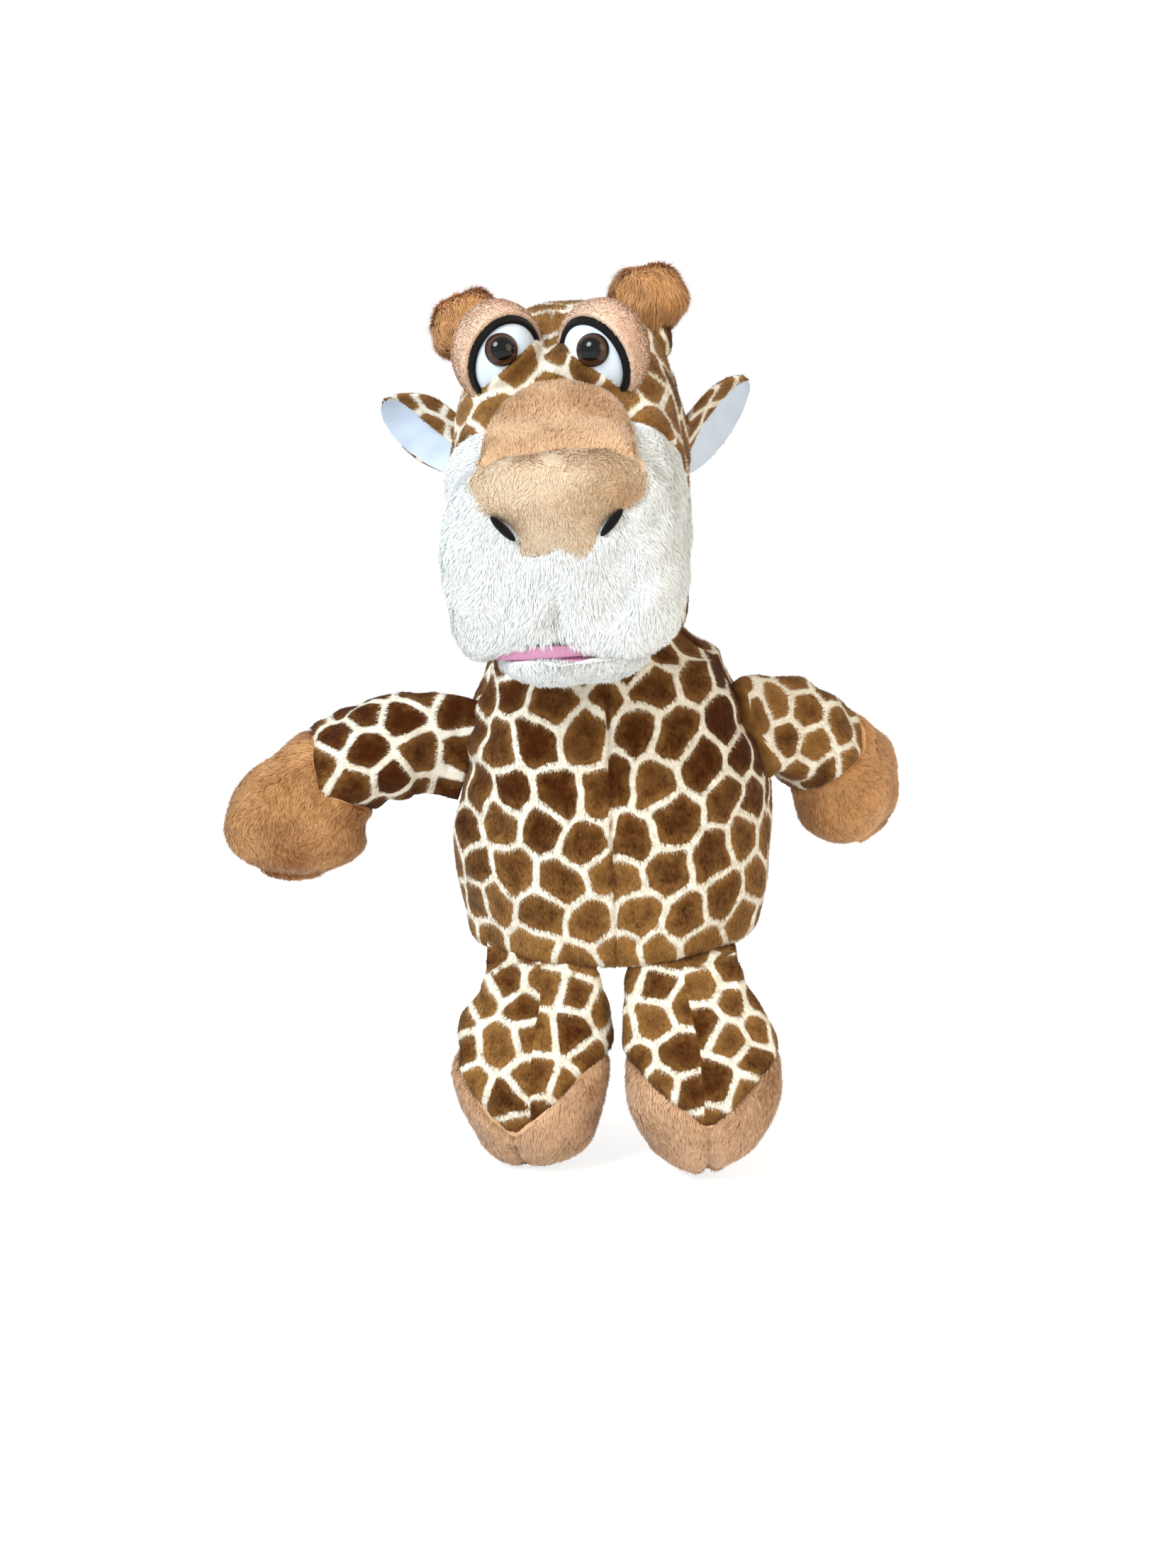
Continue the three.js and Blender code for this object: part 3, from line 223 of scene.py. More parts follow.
class Skin:
    """A surface as a grid of points: rows follow each other along the piece, and a row goes round it."""

    def __init__(self, points, wrapped=True, out=None):
        self.p, self.wrapped, self.data = points, wrapped, {}
        self.sign = 1
        self.measure()
        if wrapped:
            away = self.p - self.p.mean(1, keepdims=True)
        else:
            away = np.broadcast_to(array(out, float), self.p.shape)
        if (self.n * away).sum() < 0:
            self.sign = -1
            self.n = -self.n

    def measure(self):
        p = self.p
        across = np.roll(p, -1, 1) - np.roll(p, 1, 1) if self.wrapped else np.gradient(p, axis=1)
        along = np.gradient(p, axis=0)
        self.n = unit(np.cross(across, along)) * self.sign
        self.t = unit(along)

    def push(self, amount):
        self.p = self.p + self.n * amount[..., None]
        self.measure()

    def reach(self, axis):
        """How far each point is from the first of its row (axis 1) or of its column (axis 0)."""
        step = norm(np.diff(self.p, axis=axis), axis=2)
        return np.cumsum(np.insert(step, 0, 0, axis), axis)

    def object(self, name, material, caps=()):
        rows, columns = self.p.shape[:2]
        index = arange(rows * columns).reshape(rows, columns)
        right = np.roll(index, -1, 1) if self.wrapped else index[:, 1:]
        left = index if self.wrapped else index[:, :-1]
        quads = stack([left[:-1], right[:-1], right[1:], left[1:]], -1).reshape(-1, 4)
        points = self.p.reshape(-1, 3)
        data = {k: np.broadcast_to(v, (rows, columns)).ravel() for k, v in self.data.items()}
        triangles = [np.zeros((0, 3), int)]
        for row in caps:
            middle = np.full(columns, len(points))
            points = concatenate([points, self.p[row].mean(0)[None]])
            data = {k: np.append(v, v[index[row]].mean()) for k, v in data.items()}
            fan = stack([left[row], right[row], middle], -1)
            triangles.append(fan if row else fan[:, ::-1])
        triangles = concatenate(triangles)
        if self.sign < 0:
            quads, triangles = quads[:, ::-1], triangles[:, ::-1]
        return mesh_object(name, points, quads, triangles, material, data)

    def closed(self, values):
        """Values on the grid, with a wrapped row's first value again at its end."""
        values = np.broadcast_to(values, self.p.shape[:2] + values.shape[2:])
        return concatenate([values, values[:, :1]], 1) if self.wrapped else values

    def cells(self):
        """The size of each cell of the grid in square millimetres."""
        p = self.closed(self.p)
        return norm(np.cross(p[1:, :-1] - p[:-1, :-1], p[:-1, 1:] - p[:-1, :-1]), axis=2)

    def ring(self, row):
        """The length of one row in metres."""
        return float(norm(np.diff(self.p[row], axis=0), axis=1).sum()) * MM

    def area(self):
        """Its size in square metres."""
        return float(self.cells().sum()) * MM * MM

    def blades(self, seed, density, length, width, lift, stray, keep=None, comb=None,
               clump=0.0, spacing=5.0, short=False):
        """Pile as tapered blades that lean along the nap, as many to a square millimetre as density says.

        It gives their corners, how near the tip each corner is, data, normals and which face inward.
        """
        g = np.random.default_rng(seed)
        area = self.cells()
        if keep is not None:
            area = area * self.closed(keep)[:-1, :-1]
        total = np.cumsum(area.ravel())
        count = int(total[-1] * density)
        cell = np.searchsorted(total, g.uniform(0, total[-1], count))
        i, j = np.unravel_index(minimum(cell, area.size - 1), area.shape)
        a, b = g.random(count), g.random(count)

        def pick(values):
            v = self.closed(values)
            extra = (None,) * (v.ndim - 2)
            wa, wb = a[(...,) + extra], b[(...,) + extra]
            low = v[i, j] * (1 - wb) + v[i, j + 1] * wb
            high = v[i + 1, j] * (1 - wb) + v[i + 1, j + 1] * wb
            return low * (1 - wa) + high * wa

        root, normal = pick(self.p), unit(pick(self.n))
        lay = unit(pick(self.t if comb is None else comb)) + stray * g.normal(size=(count, 3))
        lay = unit(lay - normal * (lay * normal).sum(1, keepdims=True))
        rise = clip(lift + 0.1 * g.normal(size=(count, 1)), 0.08, 0.95)
        size = (length * g.uniform(0.65, 1.3, count))[:, None]
        if "long" in self.data:
            size = size * pick(self.data["long"])[:, None]
        way = unit(normal * rise + lay * (1 - rise))
        first = unit(normal * (rise + 0.3) + lay * (1 - rise))
        side = unit(np.cross(way, normal) + 0.15 * g.normal(size=(count, 3))) * (width / 2)
        side = side * g.uniform(0.7, 1.3, (count, 1))
        root = root - normal * 0.15
        middle = root + first * size * 0.5
        tip = middle + unit(way - 0.25 * normal) * size * 0.5
        shade = g.random(count)
        if clump:
            heads = arange(0, count, max(1, int(density * spacing * spacing)))
            tree = KDTree(len(heads))
            for k, h in enumerate(heads):
                tree.insert(root[h], k)
            tree.balance()
            owner = heads[[tree.find(r)[1] for r in root]]
            tip = tip + clump * (tip[owner] - tip)
            middle = middle + 0.4 * clump * (middle[owner] - middle)
            shade = 0.45 * shade + 0.55 * shade[owner]
        if short:
            blade = stack([root + side, root - side, tip], 1)
            tips = [0.0, 0.0, 1.0]
        else:
            blade = stack([root + side, root - side, middle - side * 0.7, middle + side * 0.7, tip], 1)
            tips = [0.0, 0.0, 0.55, 0.55, 1.0]
        look = unit(normal + 0.25 * lay + 0.12 * g.normal(size=(count, 3)))
        shown = self.data.keys() - {"long", "tip", "hair"}
        data = {k: pick(np.asarray(v, float)) for k, v in self.data.items() if k in shown}
        data["hair"] = shade
        facing = np.cross(blade[:, 1] - blade[:, 0], blade[:, 2] - blade[:, 0])
        wrong = (facing * normal).sum(1) < 0
        return blade, tips, data, look, wrong


def grow(skin, name, material, seed, parts=1, bend=None, body=None, **kind):
    """Pile on a skin, as pieces that follow what the skin follows."""
    blade, tips, data, look, wrong = skin.blades(seed, **kind)
    for part in range(parts):
        mine = arange(part, len(blade), parts)
        corners = blade.shape[1]
        base = arange(len(mine))[:, None] * corners
        quads = base + array([[0, 1, 2, 3]]) if corners == 5 else np.zeros((0, 4), int)
        triangles = base + array([[3, 2, 4]] if corners == 5 else [[0, 1, 2]])
        flip = wrong[mine]
        if corners == 5:
            quads[flip] = quads[flip][:, ::-1]
        triangles[flip] = triangles[flip][:, ::-1]
        values = {k: np.repeat(v[mine], corners) for k, v in data.items()}
        values["tip"] = np.tile(tips, len(mine))
        label = name if parts == 1 else name + "_" + str(part + 1)
        ob = mesh_object(
            label, blade[mine].reshape(-1, 3), quads, triangles, material, values,
            np.repeat(look[mine], corners, axis=0),
        )
        dress(ob, body=body, bend=bend)


def flow(points, way, drift, length, seed):
    """A combing direction that wanders smoothly over the surface."""
    noise = stack([waves(points, length, seed + k) for k in range(3)], -1)
    return array(way) + drift * noise


def patches(flat, spots, shade):
    """Patches round their spots: millimetres from the nearest light line, and a number for each patch."""
    edge, number = np.empty(len(flat)), np.empty(len(flat))
    apart = norm(spots[:, None] - spots[None], axis=2) + 1e-6
    for part in np.array_split(arange(len(flat)), max(1, len(flat) // 20000)):
        far = ((flat[part][:, None] - spots[None]) ** 2).sum(2)
        near = far.argmin(1)
        gap = (far - far[arange(len(part)), near][:, None]) / (2 * apart[near])
        gap[arange(len(part)), near] = 1e3
        edge[part] = -np.log(np.exp(-gap / LINE_SOFT).sum(1)) * LINE_SOFT
        number[part] = shade[near]
    return edge, number


def giraffe(u, v, step, seed):
    """Giraffe print on a flat panel, in staggered rows."""
    g = np.random.default_rng(seed)
    rows = arange(v.min() - 2 * step, v.max() + 2 * step, step * 0.9)
    columns = arange(u.min() - 2 * step, u.max() + 2 * step, step)
    spots = array([(x + (step / 2 if k % 2 else 0), y) for k, y in enumerate(rows) for x in columns])
    spots = spots + g.uniform(-0.22, 0.22, spots.shape) * step
    flat = stack([u, v], 1)
    flat = flat + 0.4 * stack([sin(v * 0.5 + seed), cos(u * 0.45 + seed)], 1)
    return patches(flat, spots, g.random(len(spots)))


def giraffe_round(points, step, seed):
    """Giraffe print on a rounded piece, with its patches spread evenly over the surface."""
    g = np.random.default_rng(seed)
    far = np.full(len(points), np.inf)
    spots = []
    while far.max() > 0.82 * step:
        spots.append(points[g.choice(np.flatnonzero(far > 0.82 * step))])
        far = minimum(far, norm(points - spots[-1], axis=1))
    return patches(points, array(spots), g.random(len(spots)))


# Materials


def rgb(red, green, blue):
    def line(c):
        c /= 255
        return c / 12.92 if c <= 0.04045 else ((c + 0.055) / 1.055) ** 2.4

    return (line(red), line(green), line(blue), 1.0)


def set_inputs(node, **values):
    """Sets a node's inputs, named with underscores for spaces."""
    for key, value in values.items():
        node.inputs[key.replace("_", " ")].default_value = value


def new_node(tree, kind, **settings):
    made = tree.nodes.new("ShaderNode" + kind)
    for key, value in settings.items():
        setattr(made, key, value)
    return made


class Shader:
    """A material that is built node by node."""

    def __init__(self, name, roughness, sheen=0.0, specular=0.25):
        self.material = bpy.data.materials.new(name)
        self.material.use_nodes = True
        self.tree = self.material.node_tree
        self.main = self.tree.nodes["Principled BSDF"]
        set_inputs(self.main, Roughness=roughness, Sheen_Weight=sheen)
        set_inputs(self.main, Sheen_Roughness=0.45, Specular_IOR_Level=specular)

    def node(self, kind, **settings):
        return new_node(self.tree, kind, **settings)

    def join(self, source, target):
        if isinstance(source, (int, float, tuple)):
            target.default_value = source
        else:
            self.tree.links.new(source, target)

    def value(self, name):
        return self.node("Attribute", attribute_name=name).outputs["Fac"]

    def math(self, operation, a, b=0.0, c=None):
        made = self.node("Math", operation=operation)
        self.join(a, made.inputs[0])
        self.join(b, made.inputs[1])
        if c is not None:
            self.join(c, made.inputs[2])
        return made.outputs[0]

    def add(self, a, b):
        return self.math("ADD", a, b)

    def scaled(self, a, by, plus):
        return self.math("MULTIPLY_ADD", a, by, plus)

    def noise(self, scale, detail=2.0):
        place = self.node("TexCoord").outputs["Object"]
        made = self.node("TexNoise")
        self.tree.links.new(place, made.inputs["Vector"])
        set_inputs(made, Scale=scale, Detail=detail)
        return made.outputs["Fac"]

    def mix(self, share, a, b, blend="MIX"):
        made = self.node("Mix", data_type="RGBA", blend_type=blend)
        self.join(share, made.inputs["Factor"])
        self.join(a, made.inputs["A"])
        self.join(b, made.inputs["B"])
        return made.outputs["Result"]

    def span(self, value, low, high, to_low=0.0, to_high=1.0):
        made = self.node("MapRange", interpolation_type="SMOOTHSTEP")
        self.join(value, made.inputs["Value"])
        set_inputs(made, From_Min=low, From_Max=high, To_Min=to_low, To_Max=to_high)
        return made.outputs["Result"]

    def bumped(self, height, strength, distance):
        made = self.node("Bump")
        set_inputs(made, Strength=strength, Distance=distance)
        self.join(height, made.inputs["Height"])
        self.tree.links.new(made.outputs["Normal"], self.main.inputs["Normal"])

    def done(self, colour):
        self.join(colour, self.main.inputs["Base Color"])
        return self.material


def print_plush():
    """Short printed pile: brown patches, darker in their middles, between cream lines."""
    s = Shader("print_plush", 0.9, sheen=0.08, specular=0.1)
    mottle = s.noise(190.0, 4.0)
    fine = s.noise(1500.0, 2.0)
    uneven = s.scaled(s.noise(130.0, 2.0), -1.8, 0.9)
    edge = s.add(s.value("edge"), s.scaled(fine, 0.9, uneven))
    edge = s.add(edge, s.scaled(s.value("hair"), 0.5, -0.7))
    patch = s.span(edge, LINE - 0.45, LINE + 0.55)
    depth = s.scaled(s.value("cell"), 0.3, s.math("MULTIPLY", mottle, 0.5))
    depth = s.add(depth, s.scaled(s.value("fade"), 0.6, -0.3))
    depth = s.add(depth, s.scaled(s.value("hair"), 0.4, -0.1))
    depth = s.add(depth, s.span(edge, LINE + 0.5, LINE + 5.5, 0.22, 0.0))
    brown = s.mix(s.span(depth, 0.05, 0.95), rgb(68, 29, 1), rgb(156, 112, 60))
    cream = s.mix(s.span(mottle, 0.3, 0.7), rgb(232, 221, 200), rgb(247, 240, 226))
    colour = s.mix(patch, cream, brown)
    strand = s.scaled(s.value("tip"), 0.24, s.scaled(s.value("hair"), 0.24, 0.76))
    grey = s.node("CombineColor")
    for channel in grey.inputs:
        s.tree.links.new(strand, channel)
    colour = s.mix(1.0, colour, grey.outputs["Color"], "MULTIPLY")
    s.bumped(fine, 0.3, 0.0003)
    return s.done(colour)


def pile(name, deep, pale, sheen=0.25, grain=900.0, strength=0.3, blotch=140.0, speck=0.0):
    """Plain pile: deep between the strands and paler at the tips, a little uneven all over."""
    s = Shader(name, 0.95, sheen=sheen, specular=0.12)
    mottle = s.noise(blotch, 3.0)
    fine = s.noise(grain, 2.0)
    light = s.scaled(s.value("tip"), 0.34, s.scaled(mottle, 0.34, 0.06))
    light = s.add(light, s.scaled(s.value("hair"), 0.36, s.value("fade")))
    light = s.add(light, s.scaled(fine, speck, -0.5 * speck))
    colour = s.mix(s.span(light, 0.1, 1.05), deep, pale)
    s.bumped(fine, strength, 0.0005)
    return s.done(colour)


def woven(name, deep, pale, threads, roughness=0.85, sheen=0.1):
    """Flat cloth with a fine weave."""
    s = Shader(name, roughness, sheen=sheen, specular=0.2)
    place = s.node("TexCoord").outputs["Object"]
    heights = []
    for direction in ("X", "Z"):
        wave = s.node("TexWave", bands_direction=direction)
        s.tree.links.new(place, wave.inputs["Vector"])
        set_inputs(wave, Scale=threads, Distortion=0.6)
        heights.append(wave.outputs["Fac"])
    weave = s.math("MULTIPLY", heights[0], heights[1])
    mottle = s.noise(90.0, 4.0)
    colour = s.mix(s.scaled(weave, 0.4, s.math("MULTIPLY", mottle, 0.6)), deep, pale)
    s.bumped(weave, 0.4, 0.0003)
    return s.done(colour)


def eye_plastic():
    """Moulded eye under a clear dome: black pupil, dark brown iris and a black edge."""
    s = Shader("eye_plastic", 0.05, specular=0.3)
    radius = s.value("radius")
    spokes = s.noise(900.0, 3.0)
    iris = s.mix(spokes, rgb(40, 22, 14), rgb(86, 54, 38))
    colour = s.mix(s.span(radius, 0.66, 0.72), rgb(5, 4, 4), iris)
    colour = s.mix(s.span(radius, 0.9, 0.96), colour, rgb(26, 16, 12))
    return s.done(colour)


def moulded(name, deep, pale):
    """Plain moulded plastic with a faint grain."""
    s = Shader(name, 0.5, specular=0.4)
    grain = s.noise(1200.0, 3.0)
    s.bumped(grain, 0.1, 0.0001)
    return s.done(s.mix(s.noise(80.0, 3.0), deep, pale))


PRINT = print_plush()
WHITE = pile("white_pile", rgb(234, 236, 235), rgb(252, 253, 252), blotch=70.0)
TAN = pile("tan_plush", rgb(146, 84, 34), rgb(240, 184, 126), blotch=60.0)
LEG_TAN = pile("leg_tan_plush", rgb(158, 106, 64), rgb(244, 200, 160), blotch=60.0)
BRIDGE = pile("bridge_plush", rgb(166, 110, 62), rgb(240, 198, 156), blotch=70.0)
PEACH = pile("peach_plush", rgb(202, 164, 124), rgb(246, 222, 192), grain=1300.0, blotch=60.0)
LID = pile("lid_towelling", rgb(226, 172, 140), rgb(255, 226, 200), grain=1500.0, strength=0.6, speck=0.3)
EYE_WHITE = woven("eye_white_cloth", rgb(214, 226, 242), rgb(232, 242, 254), 700.0)
EYE = eye_plastic()
FELT = pile("black_felt", rgb(8, 7, 7), rgb(34, 31, 30), sheen=0.1, grain=2200.0)
SATIN = woven("ear_satin", rgb(196, 210, 232), rgb(222, 234, 250), 500.0, roughness=0.6, sheen=0.2)
PINK = woven("pink_cloth", rgb(188, 122, 156), rgb(218, 162, 190), 450.0)
LINING = woven("lining_cloth", rgb(204, 190, 164), rgb(232, 222, 200), 350.0)
BOARD = moulded("mouth_board", rgb(196, 186, 166), rgb(222, 214, 196))
WASHER = moulded("washer_plastic", rgb(214, 214, 212), rgb(236, 236, 234))

SHORT_PILE = dict(
    density=2.3, length=2.0, width=0.42, lift=0.2, stray=0.2, clump=0.3, spacing=1.7, short=True
)


def dress(ob, body=None, bend=None, replaces=(), fill=None):
    """Attaches a piece to the body it follows, or bakes its transform in place where a bend is given, and
    hides the nodes that it stands for.
    """
    if bend:
        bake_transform(ob)
    else:
        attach(ob, body)
    if replaces:
        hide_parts(*replaces)


def furred(skin, name, pile_name, material, seed, nap, caps=(), replaces=(), fill=None, parts=1,
           keep=None, comb=None, **follows):
    """A padded skin and its pile, attached to the same body, or both baked in place where a bend is given.
    """
    dress(skin.object(name, material, caps=caps), replaces=replaces, fill=fill, **follows)
    grow(skin, pile_name, material, seed, parts=parts, keep=keep, comb=comb, **follows, **nap)


def cloth(skin, name, material, flat, under, caps=(), cut=False, **how):
    """A thin sheet that rests on a piece. Its flat size in metres and the piece under it are not used; if
    cut, its own area is worked out but not used.
    """
    ob = skin.object(name, material, caps=caps)
    dress(ob, **how)
    size = {"area": skin.area()} if cut else {}


def plain(skin, fade, tip=0.3):
    """The data of a skin with one colour of pile: how pale it is, and a middling strand of the pile."""
    shape = skin.p.shape[:2]
    fade = np.broadcast_to(np.asarray(fade, float), shape)
    skin.data = {"fade": fade, "tip": np.full(shape, tip), "hair": np.full(shape, 0.5)}


def printed(skin, edge, cell, fade):
    """The data of a printed skin: also the distance from the light lines, and a number for each patch."""
    plain(skin, fade, 0.5)
    skin.data.update(edge=edge, cell=cell)


def printed_round(skin, step, fade, *seeds, panels=(True,)):
    """The print on a rounded skin, cut along the seams between its panels."""
    edge, cell = np.zeros(skin.p.shape[:2]), np.zeros(skin.p.shape[:2])
    for seed, panel in zip(seeds, panels):
        mask = np.broadcast_to(panel, edge.shape)
        edge[mask], cell[mask] = giraffe_round(skin.p[mask], step, seed)
    printed(skin, edge, cell, fade)


# Body and neck: one printed skin that rises into the neck at its top and rolls in at the hem
NECKLINE, KNUCKLE = 125.0, 150.0
HEM_THICK, HEM_DROOP = 10.3, 3.4
SIDE_SEAM = -8.0
body_at = spline((0, 63.5, 50, 46), (50, 70.5, 57, 52), (106, 59, 47.5, 45), (125, 51, 42, 41))


def body_section(z):
    width, front, back = body_at(minimum(z, NECKLINE))
    t = clip((z - NECKLINE) / 12.0, 0, 1)
    lift = sin(t * PI / 2)
    share = sqrt(1 - (clip(z - KNUCKLE, -13, 40) / 41) ** 2)

    def above(body_size, low, high):
        return where(z > NECKLINE, low + (high * share - low) * lift, body_size)

    return above(width, 51, 44), above(front, 42, 41), above(back, 41, 41), 2.25 - 0.25 * lift, -7.5 * t


def body_points(heights, insets, columns):
    z = array(heights)[:, None]
    inset = array(insets)[:, None]
    angle = around(columns, -PI / 2)
    width, front, back, square, shift = body_section(z)
    x, y = oval(angle, width - inset, front - inset, back - inset, square)
    return stack([x + shift, y, np.broadcast_to(z, x.shape)], -1)


roll = linspace(0, PI, 15)[1:]
half_hem = HEM_THICK / 2
heights = concatenate(
    [linspace(178, half_hem, 178), half_hem * (1 - sin(roll)), linspace(half_hem, 9, 4)[1:]]
)
insets = concatenate([np.zeros(178), half_hem * (1 - cos(roll)), np.full(3, HEM_THICK)])
local = body_points(heights, insets + SKIN_IN, 420)
x, y, z = np.moveaxis(local, -1, 0)
local[..., 2] -= HEM_DROOP * bump(x, 30) * ease(-y, 5, 40) * (1 - ease(z, 4, 34))
body = Skin(put(TORSO, local))
front = y < 0
groove = bump(x, 1.2) * front
sides = bump(y - SIDE_SEAM, 1.1)
lumps = 0.9 * waves(local, 58, 1) + 0.4 * waves(local * [1, 1, 0.5], 22, 2)
pulls = 0.9 * bump(z - 118, 10) * cos(x * 0.42) * ease(np.abs(x), 4, 30)
armpit = 1.6 * bump(np.abs(x) - 56, 9) * cos((z - 88) * 0.33 + x * 0.12) * bump(z - 84, 26) * front
gather = 0.7 * cos(x * 0.5) * bump(z - 8, 7)
body.push((lumps + pulls + armpit + gather - 2.0 * groove - 0.9 * sides) * (insets[:, None] < 4))
girth, run = body.reach(1), body.reach(0)
from_seam = girth - where(x < 0, girth[:, -1:], 0)
edge, cell = np.zeros(x.shape), np.zeros(x.shape)
for mask, across, seed in (
    (front & (y < SIDE_SEAM) & (x >= 0), from_seam, 11),
    (front & (y < SIDE_SEAM) & (x < 0), from_seam, 12),
    (~front | (y >= SIDE_SEAM), girth - girth[:, [210]], 13),
):
    edge[mask], cell[mask] = giraffe(across[mask], run[mask], BODY_PATCH, seed)
printed(body, edge, cell, clip((95 - z) / 110, 0, 1) * 0.75 - 0.05)
neck_bend = ("torso", "neck", (-4.5, 0, 104), (-5.9, 0, 135))
furred(
    body, "body_skin", "body_pile", PRINT, 21, SHORT_PILE, bend=neck_bend, fill=0.5, keep=(z < 170) * 1.0,
    replaces=("body_front_left", "body_front_right", "body_back", "hem_band", "neck_cover", "body_padding"),
)

# Hand lining: a cloth tube inside the body, closed where the fingers go on into the head
dome = linspace(0, PI / 2, 8)[1:]
lining_z = concatenate([linspace(6, 158, 90), 158 + 4 * sin(dome)])
lining_in = concatenate([np.full(90, HEM_THICK + 0.4), HEM_THICK + 28 * (1 - cos(dome))])
local = body_points(lining_z, lining_in, 200)
lining = Skin(put(TORSO, local))
lining.push(0.5 * waves(local, 24, 5))
lining.sign *= -1
cloth(
    lining, "hand_lining_cloth", LINING, (lining.ring(45), 0.165), "body_skin", caps=(-1,),
    bend=neck_bend, replaces=("hand_lining", "neck_lining"),
)

# Head: a white muzzle before the cheek seam and a printed crown behind it
EYE_R, EYE_TALL = 15.6, 2.4
head_at = spline(
    (-113, 48.5, -19, 66, 3.6),
    (-85, 49.5, -19, 71, 3.6),
    (-62, 49.5, -18, 93, 2.8),
    (-30, 48.5, -8, 121, 2.4),
    (0, 48.5, 0, 129, 2.3),
    (20, 45, 6, 123, 2.2),
    (38, 34, 19, 104, 2.1),
    (46, 14, 45, 77, 2),
)
MUZZLE, ROUND, HEAD_END = -113.0, 17.0, 46.0
LIP_ARCH, MOUTH_ROOF, RIM_SOFT = 3.7, -11.7, 1.6
SEAM_POINT, SEAM_WAY = (-12.0, 17.0), (math.cos(math.radians(43)), math.sin(math.radians(43)))


def head_sizes(y, grow_by):
    width, bottom, top, square = head_at(y)
    ahead = clip(1 - (y - MUZZLE) / ROUND, 0, 1)
    rounding = ROUND * (1 - sqrt(maximum(1 - ahead * ahead, 0)))
    return width - rounding + grow_by, (top - bottom) / 2 - rounding + grow_by, (top + bottom) / 2, square


def head_points(y, angle, grow_by=0.0):
    wide, half, middle, square = head_sizes(y, grow_by)
    x, z = oval(angle, wide, half, half, square)
    return stack([x, np.broadcast_to(y, x.shape), middle + z], -1)


def past_seam(p):
    return (p[..., 1] - SEAM_POINT[0]) * SEAM_WAY[0] + (p[..., 2] - SEAM_POINT[1]) * SEAM_WAY[1]


def lip_arch(x, y):
    """How far the upper lip lifts over the mouth, which stands a little open."""
    return LIP_ARCH * clip(1 - ((x + 8) / 25) ** 2, 0, 1) ** 1.3 * ease(-y, 62, 104)


def rim_height(x, y):
    """The head's lower edge: the mouth's roof, then the rim that rides over the neck."""
    return MOUTH_ROOF + 7.7 * ease(y, -56, -44) + 10 * ease(y, -8, 8) + lip_arch(x, y)


def soft_floor(points):
    """The head's points, kept above its lower edge with a soft turn."""
    x, y, z = np.moveaxis(points, -1, 0)
    low = rim_height(x, y)
    over = (z - low) / RIM_SOFT
    rounded = low + RIM_SOFT * np.log1p(np.exp(minimum(over, 16)))
    return stack([x, y, where(over > 16, z, rounded)], -1)


HEAD_COLUMNS = 380
head_angle = around(HEAD_COLUMNS, -PI / 2)
tries = linspace(-100, HEAD_END, 800)
cheek = tries[np.argmax(past_seam(head_points(tries[:, None], head_angle)) > 0, axis=0)]
for _ in range(3):
    cheek = (np.roll(cheek, 1) + 2 * cheek + np.roll(cheek, -1)) / 4

FUR_SINK = 2.4
turn = linspace(0, PI / 2, 22)
front_y = MUZZLE + ROUND * (1 - cos(turn))
share = linspace(0, 1, 94)[1:]
muzzle_y = concatenate(
    [np.broadcast_to(front_y[:, None], (22, HEAD_COLUMNS)), -96 + (cheek[None] + 5 + 96) * share[:, None]]
)
local = head_points(muzzle_y, head_angle, -FUR_SINK)
local[..., 1] += FUR_SINK * clip((-60 - local[..., 1]) / 50, 0, 1)
disc = sin(linspace(0.02, PI / 2, 26))[:-1, None, None]
middle = local[0].mean(0)
face = middle + (local[0] - middle) * disc
face[..., 1] -= 2.0 * (1 - disc[..., 0] ** 2)
local = soft_floor(concatenate([face, local]))
x, y, z = np.moveaxis(local, -1, 0)
tucked = 1 - ease(z - rim_height(x, y), 0.15, 0.9)
muzzle = Skin(put(HEAD, local))
chin = bump(x + 2.5, 2.6) * ease(-y, 92, 106) * ease(-z, -24, -6)
uneven = 0.9 * waves(local, 44, 31) + 0.35 * waves(local, 15, 32)
muzzle.push((uneven - 2.4 * chin) * (1 - tucked) - 1.7 * tucked)
seam = past_seam(local)
muzzle.push(-1.0 * bump(seam, 2.5) - 3.0 * ease(seam, 0.5, 4))
plain(muzzle, 0.1 + 0.1 * waves(local, 60, 33))
muzzle.data["long"] = clip(0.8 + 0.25 * ease(-z, -60, 0) - 0.35 * bump(seam, 4), 0.3, 1.2)
comb = flow(local, (0, 0.25, -1.0), 0.3, 20, 35) + stack([0.6 * x / 50, 0 * x, 0 * x], -1)
nap = dict(density=3.6, length=3.8, width=0.4, lift=0.22, stray=0.14, clump=0.3, spacing=2.4)
furred(
    muzzle, "muzzle_skin", "muzzle_pile", WHITE, 34, nap, caps=(0,), body="head",
    replaces=("muzzle_cover",), fill=0.8, parts=3, keep=(seam < 1.5) * (tucked < 0.5), comb=comb,
)


def lapping(points):
    """How the crown swells to the front between and below the eyes, over their lower inner sides."""
    to_front, up = array([0, -0.985, 0.174]), array([0, 0.174, 0.985])
    amount = np.zeros(points.shape[:2])
    for name, side in SIDES.items():
        from_eye = points - EYES[name][:, 3]
        inward, down = -side * from_eye[..., 0], -(from_eye @ up)
        lap, along = 0.57 * inward + 0.82 * down, 0.82 * inward - 0.57 * down
        dome = sqrt(maximum((EYE_R + 1.5) ** 2 - inward**2 - down**2, 0) + 4)
        bank = lap + 0.016 * clip(inward, 0, 16) ** 2
        ahead = from_eye @ to_front
        want = clip(dome + 1.5 - ahead, 0, 16) * ease(bank, 6.3, 8.3) * ease(ahead, -45, -28)
        amount = maximum(amount, want * (1 - ease(lap, 13, 22)) * (1 - ease(np.abs(along), 13, 22)))
    for _ in range(4):
        amount = (np.roll(amount, 1, 1) + 2 * amount + np.roll(amount, -1, 1)) / 4
        amount[1:-1] = (amount[:-2] + 2 * amount[1:-1] + amount[2:]) / 4
    return amount[..., None] * to_front


